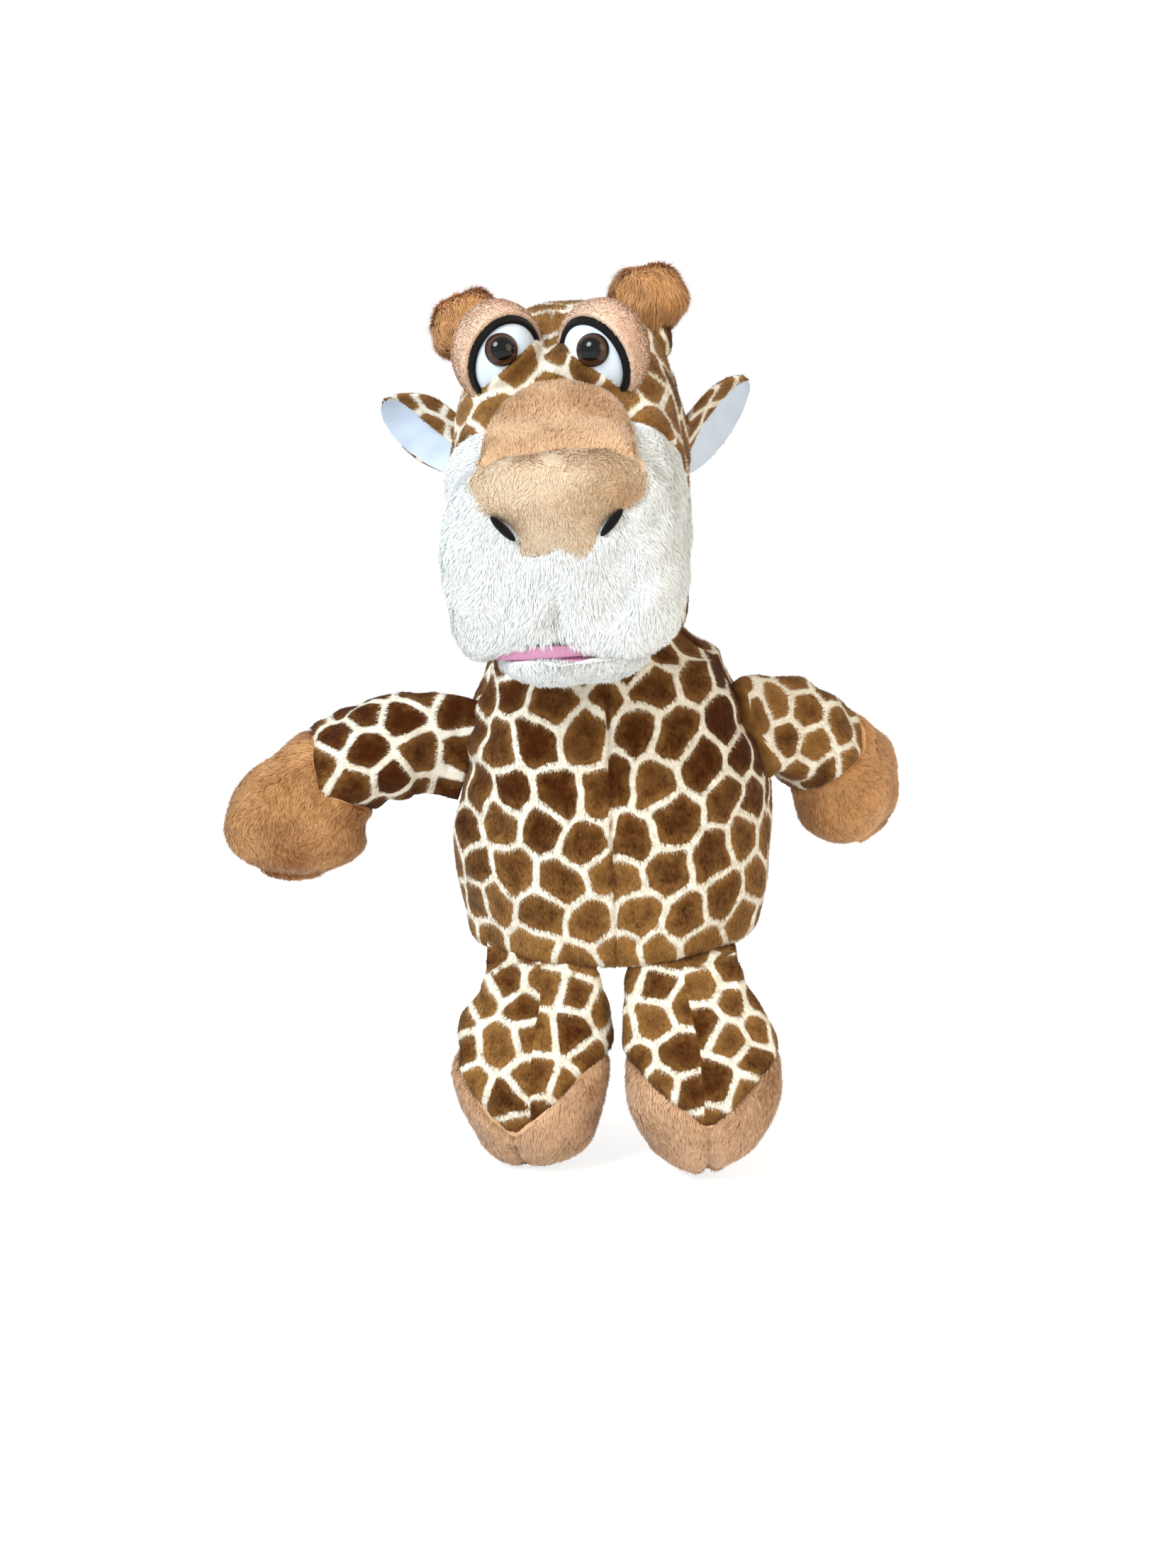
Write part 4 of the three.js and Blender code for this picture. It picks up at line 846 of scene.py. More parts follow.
crown_share = concatenate([np.zeros(4), linspace(0, 1, 128) ** 1.15])
crown_y = cheek[None] + (HEAD_END - cheek[None]) * sin(crown_share[:, None] * PI / 2)
crown_y[:4] -= array([0.0, 0.9, 1.2, 0.9])[:, None]
crown_in = concatenate([[4.5, 2.4, 1.4, 0.9], np.full(128, SKIN_IN)])[:, None]
local = head_points(crown_y, head_angle, -crown_in)
shut = linspace(0, 1, 13)[1:-1, None, None]
middle = local[-1].mean(0)
end = middle + (local[-1] - middle) * (1 - shut)
end[..., 1] += 2.0 * sqrt(1 - (1 - shut[..., 0]) ** 2)
local = soft_floor(concatenate([local, end]))
x, y, z = np.moveaxis(local, -1, 0)
crown = Skin(put(HEAD, local))
crown.push(0.6 * waves(local, 36, 41) + 0.25 * waves(local, 15, 42))
crown.p = crown.p + lapping(crown.p)
crown.measure()
printed_round(crown, HEAD_PATCH, 0.45, 43)
tuft = bump(norm(local - array([-4, -30, 121.0]), axis=-1), 3.2)
crown.data["edge"] = crown.data["edge"] * (1 - tuft)
crown.data["long"] = 1 + 2.2 * tuft
furred(
    crown, "head_skin", "head_pile", PRINT, 44, SHORT_PILE, caps=(-1,), body="head",
    replaces=("head_cover", "head_stuffing"), fill=0.8,
)


def head_front(x, z, grow_by=0.0):
    """How far forward the head's surface is at a place seen from the front."""
    stations = concatenate([front_y, linspace(-95.5, 0, 260)])
    wide, half, middle, square = head_sizes(stations, grow_by)
    inside = (np.abs(x[..., None]) / wide) ** square + (np.abs(z[..., None] - middle) / half) ** square
    first = np.argmax(inside <= 1, axis=-1)
    before = maximum(first - 1, 0)
    a = np.take_along_axis(inside, before[..., None], -1)[..., 0]
    b = np.take_along_axis(inside, first[..., None], -1)[..., 0]
    t = where(first > 0, clip((a - 1) / maximum(a - b, 1e-6), 0, 1), 0)
    return stations[before] + (stations[first] - stations[before]) * t


# Nose pad, a puffy cushion on the end of the muzzle
def bezier(points, count):
    t = linspace(0, 1, count, endpoint=False)[:, None]
    points = [array(p, float) for p in points]
    while len(points) > 1:
        points = [a * (1 - t) + b * t for a, b in zip(points, points[1:])]
    return points[0]


half_pad = concatenate(
    [
        bezier([(0, 24), (7, 24)], 12),
        bezier([(7, 24), (15, 24), (15, 33)], 18),
        bezier([(15, 33), (15, 48), (35, 41), (35, 55)], 44),
        bezier([(35, 55), (35, 65), (23, 69)], 26),
        bezier([(23, 69), (0, 69)], 24),
    ]
)
outline = concatenate([half_pad, (half_pad * [-1, 1])[:0:-1]])
pad_middle = array([0, 51.0])
ring_share = sin(linspace(0.02, PI / 2, 60))[:, None, None]
flat = pad_middle + (outline - pad_middle) * ring_share
swell = sqrt(clip(1 - ring_share[..., 0] ** 3.2, 0, 1))
x, z = flat[..., 0], flat[..., 1]
seat = head_front(x, z, -FUR_SINK)
bulge = sqrt(clip(1 - (x / 43) ** 2 - ((z - 50.5) / 34.5) ** 2, 0.05, 1))
puffed = MUZZLE + 32 - 10 - 32 * bulge
local = stack([x, seat + 1.5 + (puffed - seat - 0.5) * swell, z], -1)
nose = Skin(put(HEAD, local))
if nose.n[..., 1].mean() > 0:
    nose.sign, nose.n = -nose.sign, -nose.n
nose.push(0.35 * waves(local, 30, 51) - 0.8 * bump(x, 3) * ease(-z, -44, -30))
# Painted light: the - 0.004 * x term makes the pad paler towards its left, the side the key lamp lights;
# the waves are its own uneven tone.
plain(nose, 0.12 + 0.1 * waves(local, 30, 52) - 0.004 * x)
tucked_top = (ring_share[..., 0] > 0.955) & (z > 58)
nap = dict(density=7.0, length=2.3, width=0.3, lift=0.28, stray=0.18, clump=0.35, spacing=1.5)
furred(
    nose, "nose_cushion", "nose_pile", PEACH, 53, nap, caps=(0,), body="head",
    replaces=("nose_pad",), fill=0.9, keep=1.0 - tucked_top, comb=flow(local, (0, 0, -1), 0.35, 14, 54),
)

# Bridge panel, a tan band that rolls over the top of the nose
rows, columns = 60, 120
v = linspace(0, 1, rows)[:, None]
u = linspace(-1, 1, columns)[None]
top_edge = 60 + 33 * clip(1 - np.abs(u * 0.995) ** 2.2, 0, 1) ** 0.46
low_edge = 60 - 0.5 + 3.5 * (1 - u * u)
z = low_edge + (top_edge - low_edge) * v
x = 30.0 * u + 0 * v
near = minimum(v * (top_edge - low_edge), (1 - np.abs(u)) * 30)
far = (1 - v) * (top_edge - low_edge)
near = minimum(near, far + 1.5)
puff = 5.6 * sqrt(clip(1 - (1 - clip(near / 8.0, 0, 1)) ** 2, 0, 1)) - 1.2
puff = puff + 1.6 * bump(v * (top_edge - low_edge) - 12, 12) * ease(1 - np.abs(u), 0, 0.3)
seat = sum(head_front(x, maximum(z + shift, 61.0), -0.5) for shift in (-6, -3, 0, 3, 6)) / 5
local = stack([x, seat, z], -1)
bridge = Skin(put(HEAD, local), wrapped=False, out=(0, -0.8, 0.6))
bridge.push(puff + 0.25 * waves(local, 30, 61))
plain(bridge, 0.12 + 0.1 * waves(local, 30, 62) + 0.1 * bump(v - 0.15, 0.2))
nap = dict(density=7.0, length=2.6, width=0.3, lift=0.34, stray=0.18, clump=0.4, spacing=1.6)
furred(
    bridge, "bridge_band", "bridge_pile", BRIDGE, 63, nap, body="head",
    replaces=("bridge_panel",), fill=0.7, comb=flow(local, (0, 0.3, 1), 0.3, 16, 64),
)


def ball(name, material, place, radii, centre, rows, columns, uneven=0.0, fade=None, values=None, **how):
    """A closed round form, its pole along +Z of its place."""
    polar = linspace(0.03, PI - 0.03, rows)[:, None]
    angle = around(columns)
    way = stack([sin(polar) * cos(angle), sin(polar) * sin(angle), cos(polar) + 0 * angle], -1)
    local = way * array(radii)
    if uneven:
        local = local * (1 + uneven * waves(local, 12, 95)[..., None])
    skin = Skin(put(place, local + array(centre)))
    if fade is not None:
        plain(skin, fade + 0.06 * waves(local, 20, 9))
    if values:
        skin.data.update(values(local))
    dress(skin.object(name, material, caps=(0, -1)), **how)
    return skin


# Nostrils: black felt beads in the fold under the nose pad
for name, side in SIDES.items():
    x, z = array(side * 21.0), array(40.0)
    tilt = side * math.radians(42)
    c, s = math.cos(tilt), math.sin(tilt)
    y = float(head_front(x, z, -FUR_SINK)) - 2.4
    spot = HEAD @ array([[c, 0, s, float(x)], [0, 1, 0, y], [-s, 0, c, float(z)], [0, 0, 0, 1]])
    ball(
        "nostril_felt_" + name, FELT, spot, (1.8, 2.4, 6.6), (0, 0, 0), 24, 24, fade=0.0,
        body="head", replaces=("nostril_" + name,),
    )


# Eyes: stuffed white domes, towelling lids, felt lash bands and plastic eyes
def turned(axis, angle):
    c, s = math.cos(angle), math.sin(angle)
    i, j = [(1, 2), (2, 0), (0, 1)][axis]
    m = np.eye(3)
    m[i, i], m[i, j], m[j, i], m[j, j] = c, -s, s, c
    return m


def cap_points(axis, low, high, radius, rows, columns):
    """Directions on the eye's dome between two heights above the lid's plane, and the dome's radii."""
    scale = array([radius, radius, radius + EYE_TALL])
    m = axis * scale
    size = norm(m)
    m = m / size
    first = unit(np.cross(m, [0.0, 0.0, 1.0]))
    second = np.cross(m, first)
    polar = np.arccos(clip(linspace(high, low, rows) / size, -1, 1))[:, None, None]
    angle = around(columns)[..., None]
    return m * cos(polar) + (first * cos(angle) + second * sin(angle)) * sin(polar), scale


LID_TILT, LID_TURN, LID_THICK = math.radians(54), math.radians(48), 3.4
GAZE_OUT, GAZE_DOWN, LENS = math.radians(11.5), math.radians(86), 6.8
for name, side in SIDES.items():
    place = EYES[name]
    ball(
        "eye_white_" + name, EYE_WHITE, place, (EYE_R, EYE_R, EYE_R + EYE_TALL), (0, 0, 0),
        48, 72, body="head", replaces=("eyeball_" + name,), fill=1.0,
    )
    axis = turned(1, side * LID_TILT) @ turned(0, -LID_TURN) @ array([0.0, 0.0, 1.0])
    rows_out, rows_in, columns = 26, 10, 96
    way, scale = cap_points(axis, -3.5, EYE_R + EYE_TALL - 0.2, EYE_R, rows_out, columns)
    layers = [w * (scale + LID_THICK) for w in way]
    for a in linspace(0, PI, 9)[1:-1]:
        layers.append(way[-1] * (scale + LID_THICK / 2 * (1 + cos(a))) - axis * 1.2 * sin(a))
    layers += [way[-1 - k] * (scale + 0.1) for k in range(rows_in)]
    local = stack(layers)
    lid = Skin(put(place, local))
    lid.push(0.08 * waves(local, 4.0, 71) * (arange(len(local)) < rows_out)[:, None])
    plain(lid, 0.12 + 0.05 * waves(local, 14, 73))
    outer = (arange(len(local)) < rows_out + 4)[:, None] * np.ones(local.shape[:2])
    nap = dict(density=8.0, length=0.9, width=0.5, lift=0.4, stray=0.9)
    furred(
        lid, "lid_towel_" + name, "lid_pile_" + name, LID, 72, nap, caps=(0,), body="head",
        replaces=("eyelid_" + name,), fill=0.6, keep=outer,
    )
    way, scale = cap_points(axis, -7.0, -3.2, EYE_R, 12, columns)
    layers = [way[0] * (scale + 0.1)] + [w * (scale + 1.9) for w in way] + [way[-1] * (scale + 0.1)]
    band = Skin(put(place, stack(layers)))
    plain(band, 0.0)
    dress(band.object("lash_felt_" + name, FELT), body="head", replaces=("lash_" + name,))
    gaze = turned(2, -side * GAZE_OUT) @ turned(0, GAZE_DOWN)
    gaze_place = place @ np.block([[gaze, np.zeros((3, 1))], [np.zeros((1, 3)), np.ones((1, 1))]])
    ball(
        "eye_dome_" + name, EYE, gaze_place, (LENS, LENS, 5.7), (0, 0, EYE_R - 1.5), 60, 72,
        values=lambda p: {"radius": norm(p[..., :2], axis=-1) / LENS},
        body="head", replaces=("safety_eye_" + name,),
    )

# Ears: a cupped printed leaf whose upper edge folds over its pale lining
EAR_HALF, EAR_CUP, EAR_WIDE, EAR_MIDDLE = 25.5, 8.0, 17.5, 16.5


def ear_leaf(side, a, b, depth):
    """Points on the leaf from root (a = 0) to tip (a = 1), and from edge to edge (b = -1 to 1)."""
    x = EAR_MIDDLE + EAR_HALF * sin((a - 0.5) * PI * 0.97)
    wide = EAR_WIDE * sqrt(clip(1 - ((x - EAR_MIDDLE) / EAR_HALF) ** 2, 0, 1))
    wide = wide * (1 - 0.12 * ease(a, 0.55, 1.0))
    cup = EAR_CUP * wide / EAR_WIDE * sqrt(clip(1 - b * b, 0, 1)) ** 1.2
    return stack([side * (x + 0 * b), cup - depth, wide * b], -1)


def ear_fold(a):
    """How far down the leaf the folded upper edge comes."""
    return minimum(-0.55 + 0.85 * a + 0.75 * a**6, 0.97)


for name, side in SIDES.items():
    place = EARS[name]
    a = linspace(0, 1, 80)[:, None]
    b = sin(linspace(-PI / 2, PI / 2, 64))[None]
    fold = ear_fold(a)
    thick = 2.2 * sqrt(clip(1 - b**6, 0, 1)) * sin(PI * clip(a, 0.02, 0.98)) ** 0.3
    over = 2.4 * ease(b - fold, -0.04, 0.12) * sqrt(clip(1 - b**4, 0, 1))
    outer = ear_leaf(side, a, b, 0 * b * a)
    inner = ear_leaf(side, a, b, thick + over)
    local = concatenate([outer, inner[:, -2:0:-1]], 1)
    leaf = Skin(put(place, local))
    leaf.push(0.3 * waves(local, 18, 81))
    printed_round(leaf, SMALL_PATCH, 0.4, 83 + side)
    root, out = place[:, 3], place[:, 0] * side
    ear_bend = ("head", "ear_" + name, root - out * 1.0, root + out * 13)
    piled = np.ones(local.shape[:2])
    piled[:, 64:] = (b > fold)[:, -2:0:-1]
    furred(
        leaf, "ear_leaf_" + name, "ear_pile_" + name, PRINT, 84, SHORT_PILE, caps=(0, -1), bend=ear_bend,
        replaces=("ear_outer_" + name,), fill=0.3, keep=piled,
    )
    along = linspace(0.02, 0.97, 60)[:, None]
    low, high = -0.97, minimum(ear_fold(along) + 0.05, 0.95)
    across = low + (high - low) * linspace(0, 1, 44)[None]
    local = ear_leaf(side, along, across, 2.2 * sqrt(1 - across**6) * sin(PI * along) ** 0.3 + 0.9)
    satin = Skin(put(place, local), wrapped=False, out=-place[:, 1])
    satin.push(0.2 * waves(local, 12, 85))
    cloth(
        satin, "ear_satin_" + name, SATIN, (0.036, 0.053), "ear_leaf_" + name, cut=True,
        bend=ear_bend, replaces=("ear_lining_" + name,),
    )

# Horns: printed stems with fluffy knobs, their roots bent inward into the head
for name, side in SIDES.items():
    place = HORNS[name]
    z = linspace(-13, 16, 40)[:, None]
    angle = around(60)
    radius = 8.6 - 2.6 * ease(-z, 4, 13)
    inward = -side * 4.2 * ease(-z, -1, 13)
    local = stack([radius * cos(angle) + inward, radius * sin(angle), z + 0 * angle], -1)
    stem = Skin(put(place, local))
    stem.push(0.3 * waves(local, 9, 91))
    printed_round(stem, SMALL_PATCH, 0.1, 92 + side)
    root, up = place[:, 3], place[:, 2]
    horn_bend = ("head", "horn_" + name, root - up * 6, root + up * 7)
    furred(
        stem, "horn_post_" + name, "horn_post_pile_" + name, PRINT, 93, SHORT_PILE, caps=(0, -1),
        bend=horn_bend, replaces=("horn_stem_" + name,), fill=0.9,
    )
    knob = ball(
        "horn_tuft_" + name, TAN, place, (15.9, 15.9, 13.2), (0, 0, 19), 44, 72, uneven=0.04,
        fade=0.1, body="horn_" + name, replaces=("horn_knob_" + name,), fill=0.8,
    )
    swirl = knob.t + 0.35 * flow(knob.p, (0, 0, 0), 1.0, 16, 97)
    grow(
        knob, "horn_tuft_pile_" + name, TAN, 96, parts=2, body="horn_" + name, comb=swirl,
        density=8.5, length=5.2, width=0.3, lift=0.24, stray=0.1, clump=0.22, spacing=2.0,
    )

# Mouth: a pink lining above the fold and one below it, over the white jaw
MOUTH_FOLD = -50.0
y = concatenate([linspace(MOUTH_FOLD, -107.0, 44), linspace(-107.4, -109.4, 8)])[:, None]
b = linspace(-1, 1, 60)[None]
wide, half, middle, square = head_sizes(maximum(y, -103.0), -3.4)
level = minimum(np.abs((-11.0 - middle) / half), 0.999)
x = (wide * clip(1 - level**square, 0.001, 1) ** (1 / square) - 3.0) * b
lip = (lip_arch(x, MUZZLE) + 1.5) * ease(-y, 107, 109.4)
lip = lip + 2.4 * ease(np.abs(b), 0.93, 1)
local = stack([x, y + 4.5 * (x / 27) ** 2 * ease(-y, 98, 109), -11.95 + lip], -1)
roof = Skin(put(HEAD, local), wrapped=False, out=(0, 0, -1))
roof.push(0.15 * waves(local, 20, 101))
cloth(
    roof, "mouth_roof", PINK, (0.094, 0.0605), "muzzle_skin", cut=True, body="head",
    replaces=("upper_mouth_lining",),
)

JAW_TOP = -12.3
jaw_at = spline((-107.5, 10, 3.5), (-104, 21, 8), (-94.5, 27, 10.5), (-78.75, 31, 13.5), (-50, 28, 13))
y = concatenate([linspace(-107.5, -104, 8)[:-1], linspace(-104, -50, 62)])[:, None]
columns = 140
angle = (PI + PI * linspace(0, 1, columns))[None]
width, depth = jaw_at(y)
x, z = oval(angle, width - 1.2, depth - 1.2, depth, 2.5)
under = stack([x, y + 0 * x, JAW_TOP + z - 0.4], -1)
deck_x = linspace(1, -1, 60)[None, 1:-1]
deck = stack([(width - 1.2) * deck_x, y + 0 * deck_x, JAW_TOP - 1.8 + 0 * y * deck_x], -1)
local = concatenate([under, deck], 1)
share = linspace(0.08, 0.92, 10)[:, None, None]
middle = local[0].mean(0)
lip = middle + (local[0] - middle) * share
lip[..., 1] -= 1.5 * sqrt(1 - share[..., 0] ** 2)
local = concatenate([lip, local])
jaw = Skin(put(HEAD, local))
jaw.push(0.35 * waves(local, 22, 111))
plain(jaw, 0.1 + 0.1 * waves(local, 40, 112))
below = (arange(local.shape[1]) < columns)[None]
comb = where(below[..., None], flow(local, (0, 0.5, -0.7), 0.3, 16, 114), (0, -1, 0))
comb = where(local[..., 1:2] < -106.8, (0, -0.3, -1), comb)
nap = dict(density=3.6, length=3.6, width=0.42, lift=0.3, stray=0.25, clump=0.3, spacing=5.0)
furred(
    jaw, "jaw_skin", "jaw_pile", WHITE, 113, nap, caps=(0, -1), body="jaw", replaces=("jaw_cover",),
    fill=0.7, keep=(below | (local[..., 1] < -104.5)) * 1.0, comb=comb,
)
y = linspace(MOUTH_FOLD, -107.2, 50)[:, None]
width = jaw_at(y)[0] - 2.2
swell = 2.8 * clip(1 - ((width * b + 8) / 23) ** 2, 0, 1) * ease(-y, 84, 99) * (1 - ease(-y, 103, 107.5))
edge = 0.9 * ease(-y, 98, 107) + 0.9 * ease(-y, 105.5, 107.2) + 1.3 * ease(np.abs(b), 0.95, 1)
local = stack([width * b, y + 0 * b, JAW_TOP - 0.35 - edge + swell], -1)
tongue = Skin(put(HEAD, local), wrapped=False, out=(0, 0, 1))
tongue.push(0.15 * waves(local, 18, 121))
cloth(
    tongue, "mouth_floor", PINK, (0.062, 0.0575), "jaw_skin", cut=True, body="jaw",
    replaces=("lower_mouth_lining",),
)


def pocket(name, node, body_name, reach, back, half_wide, half_tall, middle, low, taper):
    """A cloth finger pocket, open at the back."""
    y = reach + (back - reach) * (linspace(0, 1, 50) ** 1.2)[:, None]
    grown = sqrt(1 - (1 - clip((y - reach) / 14, 0, 1)) ** 2) * 0.9 + 0.1
    angle = around(90, -PI / 2)
    wide, tall = half_wide * grown * (1 - taper * ease(y, -62, -38)), half_tall * grown
    x, z = oval(angle, wide, tall, tall, 3.2)
    local = stack([x, y + 0 * x, maximum(middle + z, low)], -1)
    skin = Skin(put(HEAD, local))
    skin.push(0.25 * waves(local, 16, 131))
    flat = (skin.ring(25), (back - reach) * MM)
    cloth(skin, name, LINING, flat, "head_skin", caps=(0,), body=body_name, replaces=(node,))


pocket("finger_pocket_cloth", "finger_pocket", "head", -97, -24, 34.2, 14.6, 7.6, -2.6, 0.38)
pocket("thumb_pocket_cloth", "thumb_pocket", "jaw", -90, -50.5, 14.2, 3.6, -20.5, -25.0, 0.0)


# Arms: sleeves that bend from the shoulder seam and end in V cuffs and blunt hooves
ARM, ARM_CUFF = 103.0, 61.0
arm_section = spline(
    (0, 22.5, 6), (14, 23, 11.5), (29.9, 23, 17), (45.1, 23, 21), (61, 24.4, 21.4),
    (77, 31, 23), (90.8, 29.5, 20), (98.8, 23.6, 13.8), (103, 14.9, 6),
)
ARM_POSE = {"left": (-2, 102), "right": (-12, 73)}
ARM_FADE = {"left": -0.1, "right": 0.4}


def arm_points(side, lift, bend, s, angle, inset):
    lift, curve = math.radians(lift), math.radians(bend) / ARM
    lean = lift - curve * s
    px = (math.sin(lift) - sin(lean)) / curve
    pz = (cos(lean) - math.cos(lift)) / curve
    tall, thick = arm_section(s)
    fit = inset * ease(s, 0, 14)
    y, up = oval(angle, thick - fit, tall - fit, tall - fit, 2.15)
    lean = lean * ease(s, 0, 23.8)
    return stack([side * (px - sin(lean) * up), y, pz + cos(lean) * up], -1), up


def hoof_cap(rings, s, length):
    """A hoof's rows closed with a round end, and how far down the limb they are."""
    middle = rings[-1].mean(0)
    way = middle - rings[-6].mean(0)
    way = way / norm(way)
    share = cos(linspace(0, PI / 2, 15)[1:-1])[:, None, None]
    end = middle + (rings[-1] - middle) * share + way * HOOF_END * sqrt(1 - share**2)
    return concatenate([rings, end]), concatenate([s, np.full((len(end), LIMB), length)])


HOOF_PILE = dict(density=6.5, length=3.2, width=0.32, lift=0.28, stray=0.16, clump=0.3, spacing=1.8)
LIMB = 150
HOOF_END = 3.0
LIMB_PLACES = {"arm": ARMS, "leg": LEGS}
limb_angle = around(LIMB, -PI / 2)


def hoof_rows(cuff, length):
    """How far down a limb the rows of its hoof are, closer together near the end."""
    return cuff + (length - cuff) * sin(linspace(0, 1, 60) * PI / 2)[:, None]


def sleeve_pieces(limb, name, skin, seed, bend):
    furred(
        skin, limb + "_skin_" + name, limb + "_pile_" + name, PRINT, seed, SHORT_PILE, caps=(0, -1),
        bend=bend, fill=0.8, replaces=(limb + "_sleeve_" + name, limb + "_stuffing_" + name),
    )


def hoof_pieces(limb, name, local, drawn_in, swell, fade, shade, material, seed):
    """A hoof with its pile, drawn in at its cuff and wherever else the amount in millimetres says."""
    side, place = SIDES[name], LIMB_PLACES[limb][name]
    skin = Skin(put(place, local))
    skin.push(swell * waves(local, 34, seed + side) + 0.15 * waves(local, 14, seed + 4) - drawn_in)
    plain(skin, fade + shade * waves(local, 34, seed + 6 + side))
    furred(
        skin, limb + "_hoof_skin_" + name, limb + "_hoof_pile_" + name, material, seed + 2 + side,
        HOOF_PILE, caps=(0, -1), body=limb + "_" + name, replaces=(limb + "_hoof_" + name,), fill=0.9,
        comb=skin.t + flow(local, (0, 0, 0), 0.3, 18, seed + 8),
    )


for name, side in SIDES.items():
    lift, bend = ARM_POSE[name]
    up = arm_points(side, lift, bend, np.full((1, 1), ARM_CUFF), limb_angle, 0)[1]
    cuff = ARM_CUFF - 0.445 * (sqrt(up * up + 9) - 3)
    place = ARMS[name]
    root, way = place[:, 3], place[:, 0] * side
    arm_bend = ("torso", "arm_" + name, root - way * 2, root + way * 26)
    s = cuff * linspace(0, 1, 90)[:, None]
    local, up = arm_points(side, lift, bend, s, limb_angle, SKIN_IN)
    sunk = linspace(8, 0, 6)[:-1, None]
    start = local[:1] - sunk[..., None] * array([side, 0, 0])
    local, s = concatenate([start, local]), concatenate([s[:1] - sunk, s])
    up = concatenate([0 * sunk + up[:1], up])
    sleeve = Skin(put(place, local))
    folds = 0.9 * waves(local, 34, 141 + side) + 0.4 * waves(local, 13, 143)
    crease = 1.4 * bump(s - 18, 5) * ease(-up, -2, 18) + 0.9 * bump(s - 38, 4) * ease(-up, 2, 20)
    sleeve.push(ease(s, 4, 16) * folds - crease - 1.3 * bump(cuff - s, 2.0))
    printed_round(sleeve, ARM_PATCH, ARM_FADE[name], 145 + side)
    sleeve_pieces("arm", name, sleeve, 147 + side, arm_bend)
    s = hoof_rows(cuff, ARM)
    local, s = hoof_cap(arm_points(side, lift, bend, s, limb_angle, HOOF_IN)[0], s, ARM)
    hoof_pieces("arm", name, local, 1.4 * bump(s - cuff, 2.0), 0.8, 0.02 + 0.1 * side, 0.08, TAN, 151)

# Legs: boots under the front hem, with hooves that rise in a V and a cleft toe
LEG, LEG_SPLAY, LEG_FORWARD = 85.0, 6.0, 9.0
leg_section = spline(
    (0, 23.5, 6.0, 0, 0), (10.1, 28.2, 10.8, 1, 0.5), (23.9, 32.2, 17, 4.2, 3), (42, 33.5, 23, 6, 9),
    (70.6, 26.8, 22.1, 6, 9), (80.8, 18.1, 15.2, 6, 9), (85, 9.4, 7.8, 6, 9),
)
FOOT_TURN = {"left": 22, "right": 4}
HOOF_V = {"left": 0.95, "right": 0.84}


def sideways(p, side, turn_by):
    """How far points are to the side of the foot's middle line."""
    x, y = p[..., 0] - side * LEG_SPLAY, p[..., 1] + LEG_FORWARD
    return x * math.cos(turn_by) + y * math.sin(turn_by)


def leg_points(side, s, angle, inset):
    wide, deep, splay, forward = leg_section(s)
    fit = inset * ease(s, 0, 12)
    x, y = oval(angle, wide - fit, deep - fit, deep - fit, 2.2)
    return stack([x + side * splay, y - forward, -s + 0 * x], -1)


for name, side in SIDES.items():
    turn_by = side * math.radians(FOOT_TURN[name])
    place = LEGS[name]
    shin = np.full((1, LIMB), 50.0)
    for _ in range(40):
        off = np.abs(sideways(leg_points(side, shin, limb_angle, 0), side, turn_by))
        shin = 0.6 * shin + 0.4 * (62 - HOOF_V[name] * (sqrt(off * off + 4) - 2))
    root, down = place[:, 3], -place[:, 2]
    leg_bend = ("torso", "leg_" + name, root - down * 2, root + down * 26)
    s = shin * linspace(0, 1, 80)[:, None]
    local = leg_points(side, s, limb_angle, SKIN_IN)
    sunk = linspace(11, 0, 9)[:-1, None]
    beyond = maximum(np.abs(local[:1, :, 0] + root[0]) - 22, 0)
    start = local[:1] + sunk[..., None] * stack([0 * beyond, 0.95 + 0.07 * beyond, 1 + 0 * beyond], -1)
    local, s = concatenate([start, local]), concatenate([s[:1] - sunk, s])
    sleeve = Skin(put(place, local))
    ahead = local[..., 1] < -minimum(LEG_FORWARD, s * 0.2)
    seam = bump(sideways(local, side, turn_by), 1.2) * ahead
    folds = 0.9 * waves(local, 32, 161 + side) + 0.35 * waves(local, 13, 163)
    gathers = 0.9 * cos(local[..., 0] * 0.55) * bump(s - 6, 7)
    sleeve.push(ease(s, 3, 14) * folds + gathers - seam * ease(s, 8, 20) - 1.4 * bump(shin - s, 2.0))
    half = arange(LIMB)[None] < LIMB // 2
    printed_round(sleeve, LEG_PATCH, 0.25, 165 + side, 169 + side, panels=(half, ~half))
    sleeve_pieces("leg", name, sleeve, 167 + side, leg_bend)
    s = hoof_rows(shin, LEG)
    local, s = hoof_cap(leg_points(side, s, limb_angle, HOOF_IN), s, LEG)
    toe = bump(sideways(local, side, turn_by), 2.4) * (local[..., 1] < -LEG_FORWARD + 4) * ease(s, 62, 70)
    hoof_pieces("leg", name, local, 1.4 * bump(s - shin, 2.0) + 3.4 * toe, 0.7, 0.12, 0.1, LEG_TAN, 171)

# Solids that stay: the mouth boards and the washers behind the eyes
for node, material in (
    ("upper_mouth_board", BOARD), ("lower_mouth_board", BOARD),
    ("eye_washer_left", WASHER), ("eye_washer_right", WASHER),
):
    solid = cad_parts[node]
    solid.data.materials.clear()
    solid.data.materials.append(material)

# Floor, light and camera
scene = bpy.context.scene
scene.view_settings.view_transform = "Standard"


def seen_by_view(tree):
    """One for rays that show a surface to the camera or in a reflection, nought for the light's own."""
    path = new_node(tree, "LightPath")
    value = path.outputs["Is Camera Ray"]
    for ray in ("Is Glossy Ray", "Is Transmission Ray"):
        either = new_node(tree, "Math", operation="MAXIMUM")
        tree.links.new(value, either.inputs[0])
        tree.links.new(path.outputs[ray], either.inputs[1])
        value = either.outputs[0]
    return value


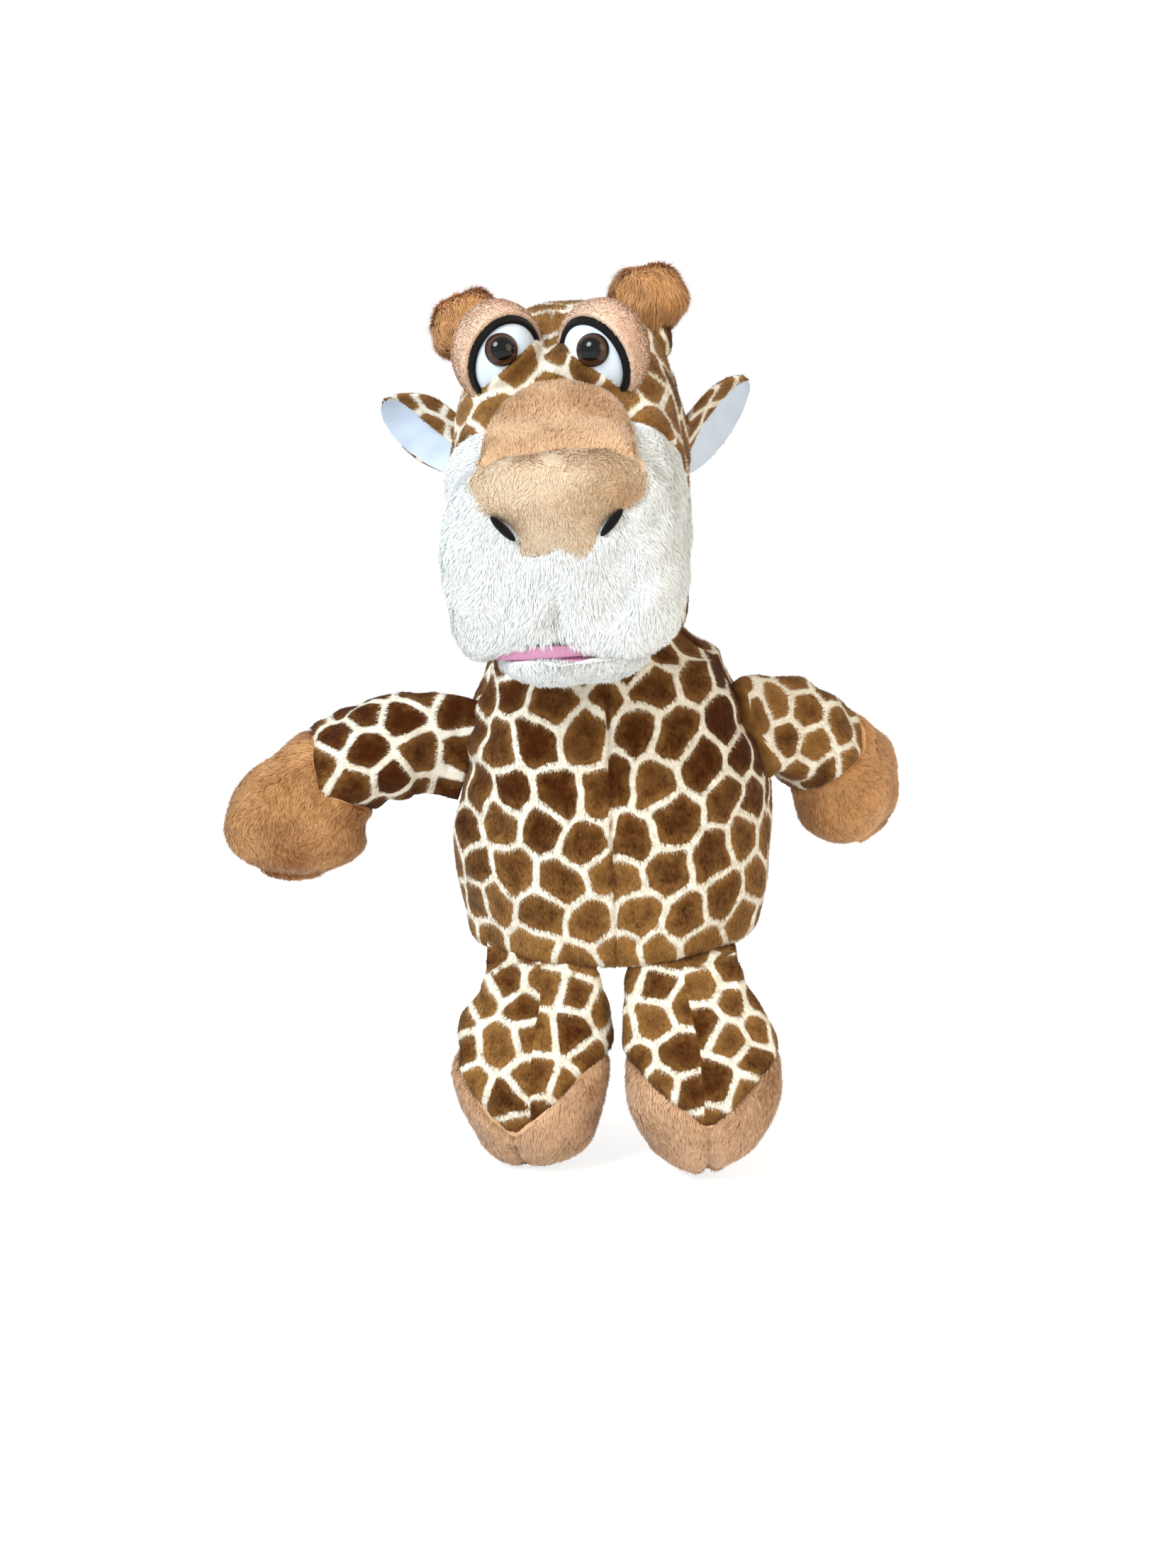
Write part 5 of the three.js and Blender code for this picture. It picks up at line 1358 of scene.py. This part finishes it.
def mixed(tree, share, first, second, target):
    choose = new_node(tree, "MixShader")
    tree.links.new(share, choose.inputs[0])
    tree.links.new(first.outputs[0], choose.inputs[1])
    tree.links.new(second.outputs[0], choose.inputs[2])
    tree.links.new(choose.outputs[0], target)


world = bpy.data.worlds.new("studio")
scene.world = world
world.use_nodes = True
tree = world.node_tree
back = tree.nodes["Background"]
set_inputs(back, Color=(1, 0.985, 0.955, 1), Strength=0.62)
white = new_node(tree, "Background")
set_inputs(white, Color=(1, 1, 1, 1))
mixed(tree, seen_by_view(tree), back, white, tree.nodes["World Output"].inputs["Surface"])

FLOOR_GLOW = 0.55
ground = Shader("floor_white", 1.0, specular=0.0)
ground.done((0.92, 0.92, 0.92, 1))
glow = ground.node("Emission")
set_inputs(glow, Color=(1, 1, 1, 1), Strength=1.45)
part = ground.math("MULTIPLY", seen_by_view(ground.tree), FLOOR_GLOW)
mixed(ground.tree, part, ground.main, glow, ground.tree.nodes["Material Output"].inputs["Surface"])
floor = mesh_object(
    "floor",
    array([(-6, -6, 0), (6, -6, 0), (6, 6, 0), (-6, 6, 0)], float) / MM,
    array([[0, 1, 2, 3]]), np.zeros((0, 3), int), ground.material, {},
)
floor.location.z = cad_box[0][2] - 0.001


def lamp(name, position, target, size, power, colour):
    data = bpy.data.lights.new(name, "AREA")
    data.shape, data.size, data.energy, data.color = "DISK", size, power, colour
    ob = bpy.data.objects.new(name, data)
    ob.location = position
    ob.rotation_mode = "QUATERNION"
    ob.rotation_quaternion = (Vector(target) - Vector(position)).to_track_quat("-Z", "Y")
    bpy.context.collection.objects.link(ob)


lamp("key", (-0.9, -1.2, 1.2), (0, 0, 0.1), 0.8, 31.0, (0.84, 0.94, 1.0))
lamp("fill", (1.3, -1.1, 0.7), (0, 0, 0.1), 1.2, 10.0, (1.0, 0.84, 0.58))

camera_data = bpy.data.cameras.new("camera")
camera_data.lens, camera_data.sensor_width = 51.83, 36.0
camera = bpy.data.objects.new("camera", camera_data)
camera.location = (-0.0127, -0.9848, 0.2419)
camera.rotation_euler = (math.radians(80), 0, 0)
bpy.context.collection.objects.link(camera)
scene.camera = camera
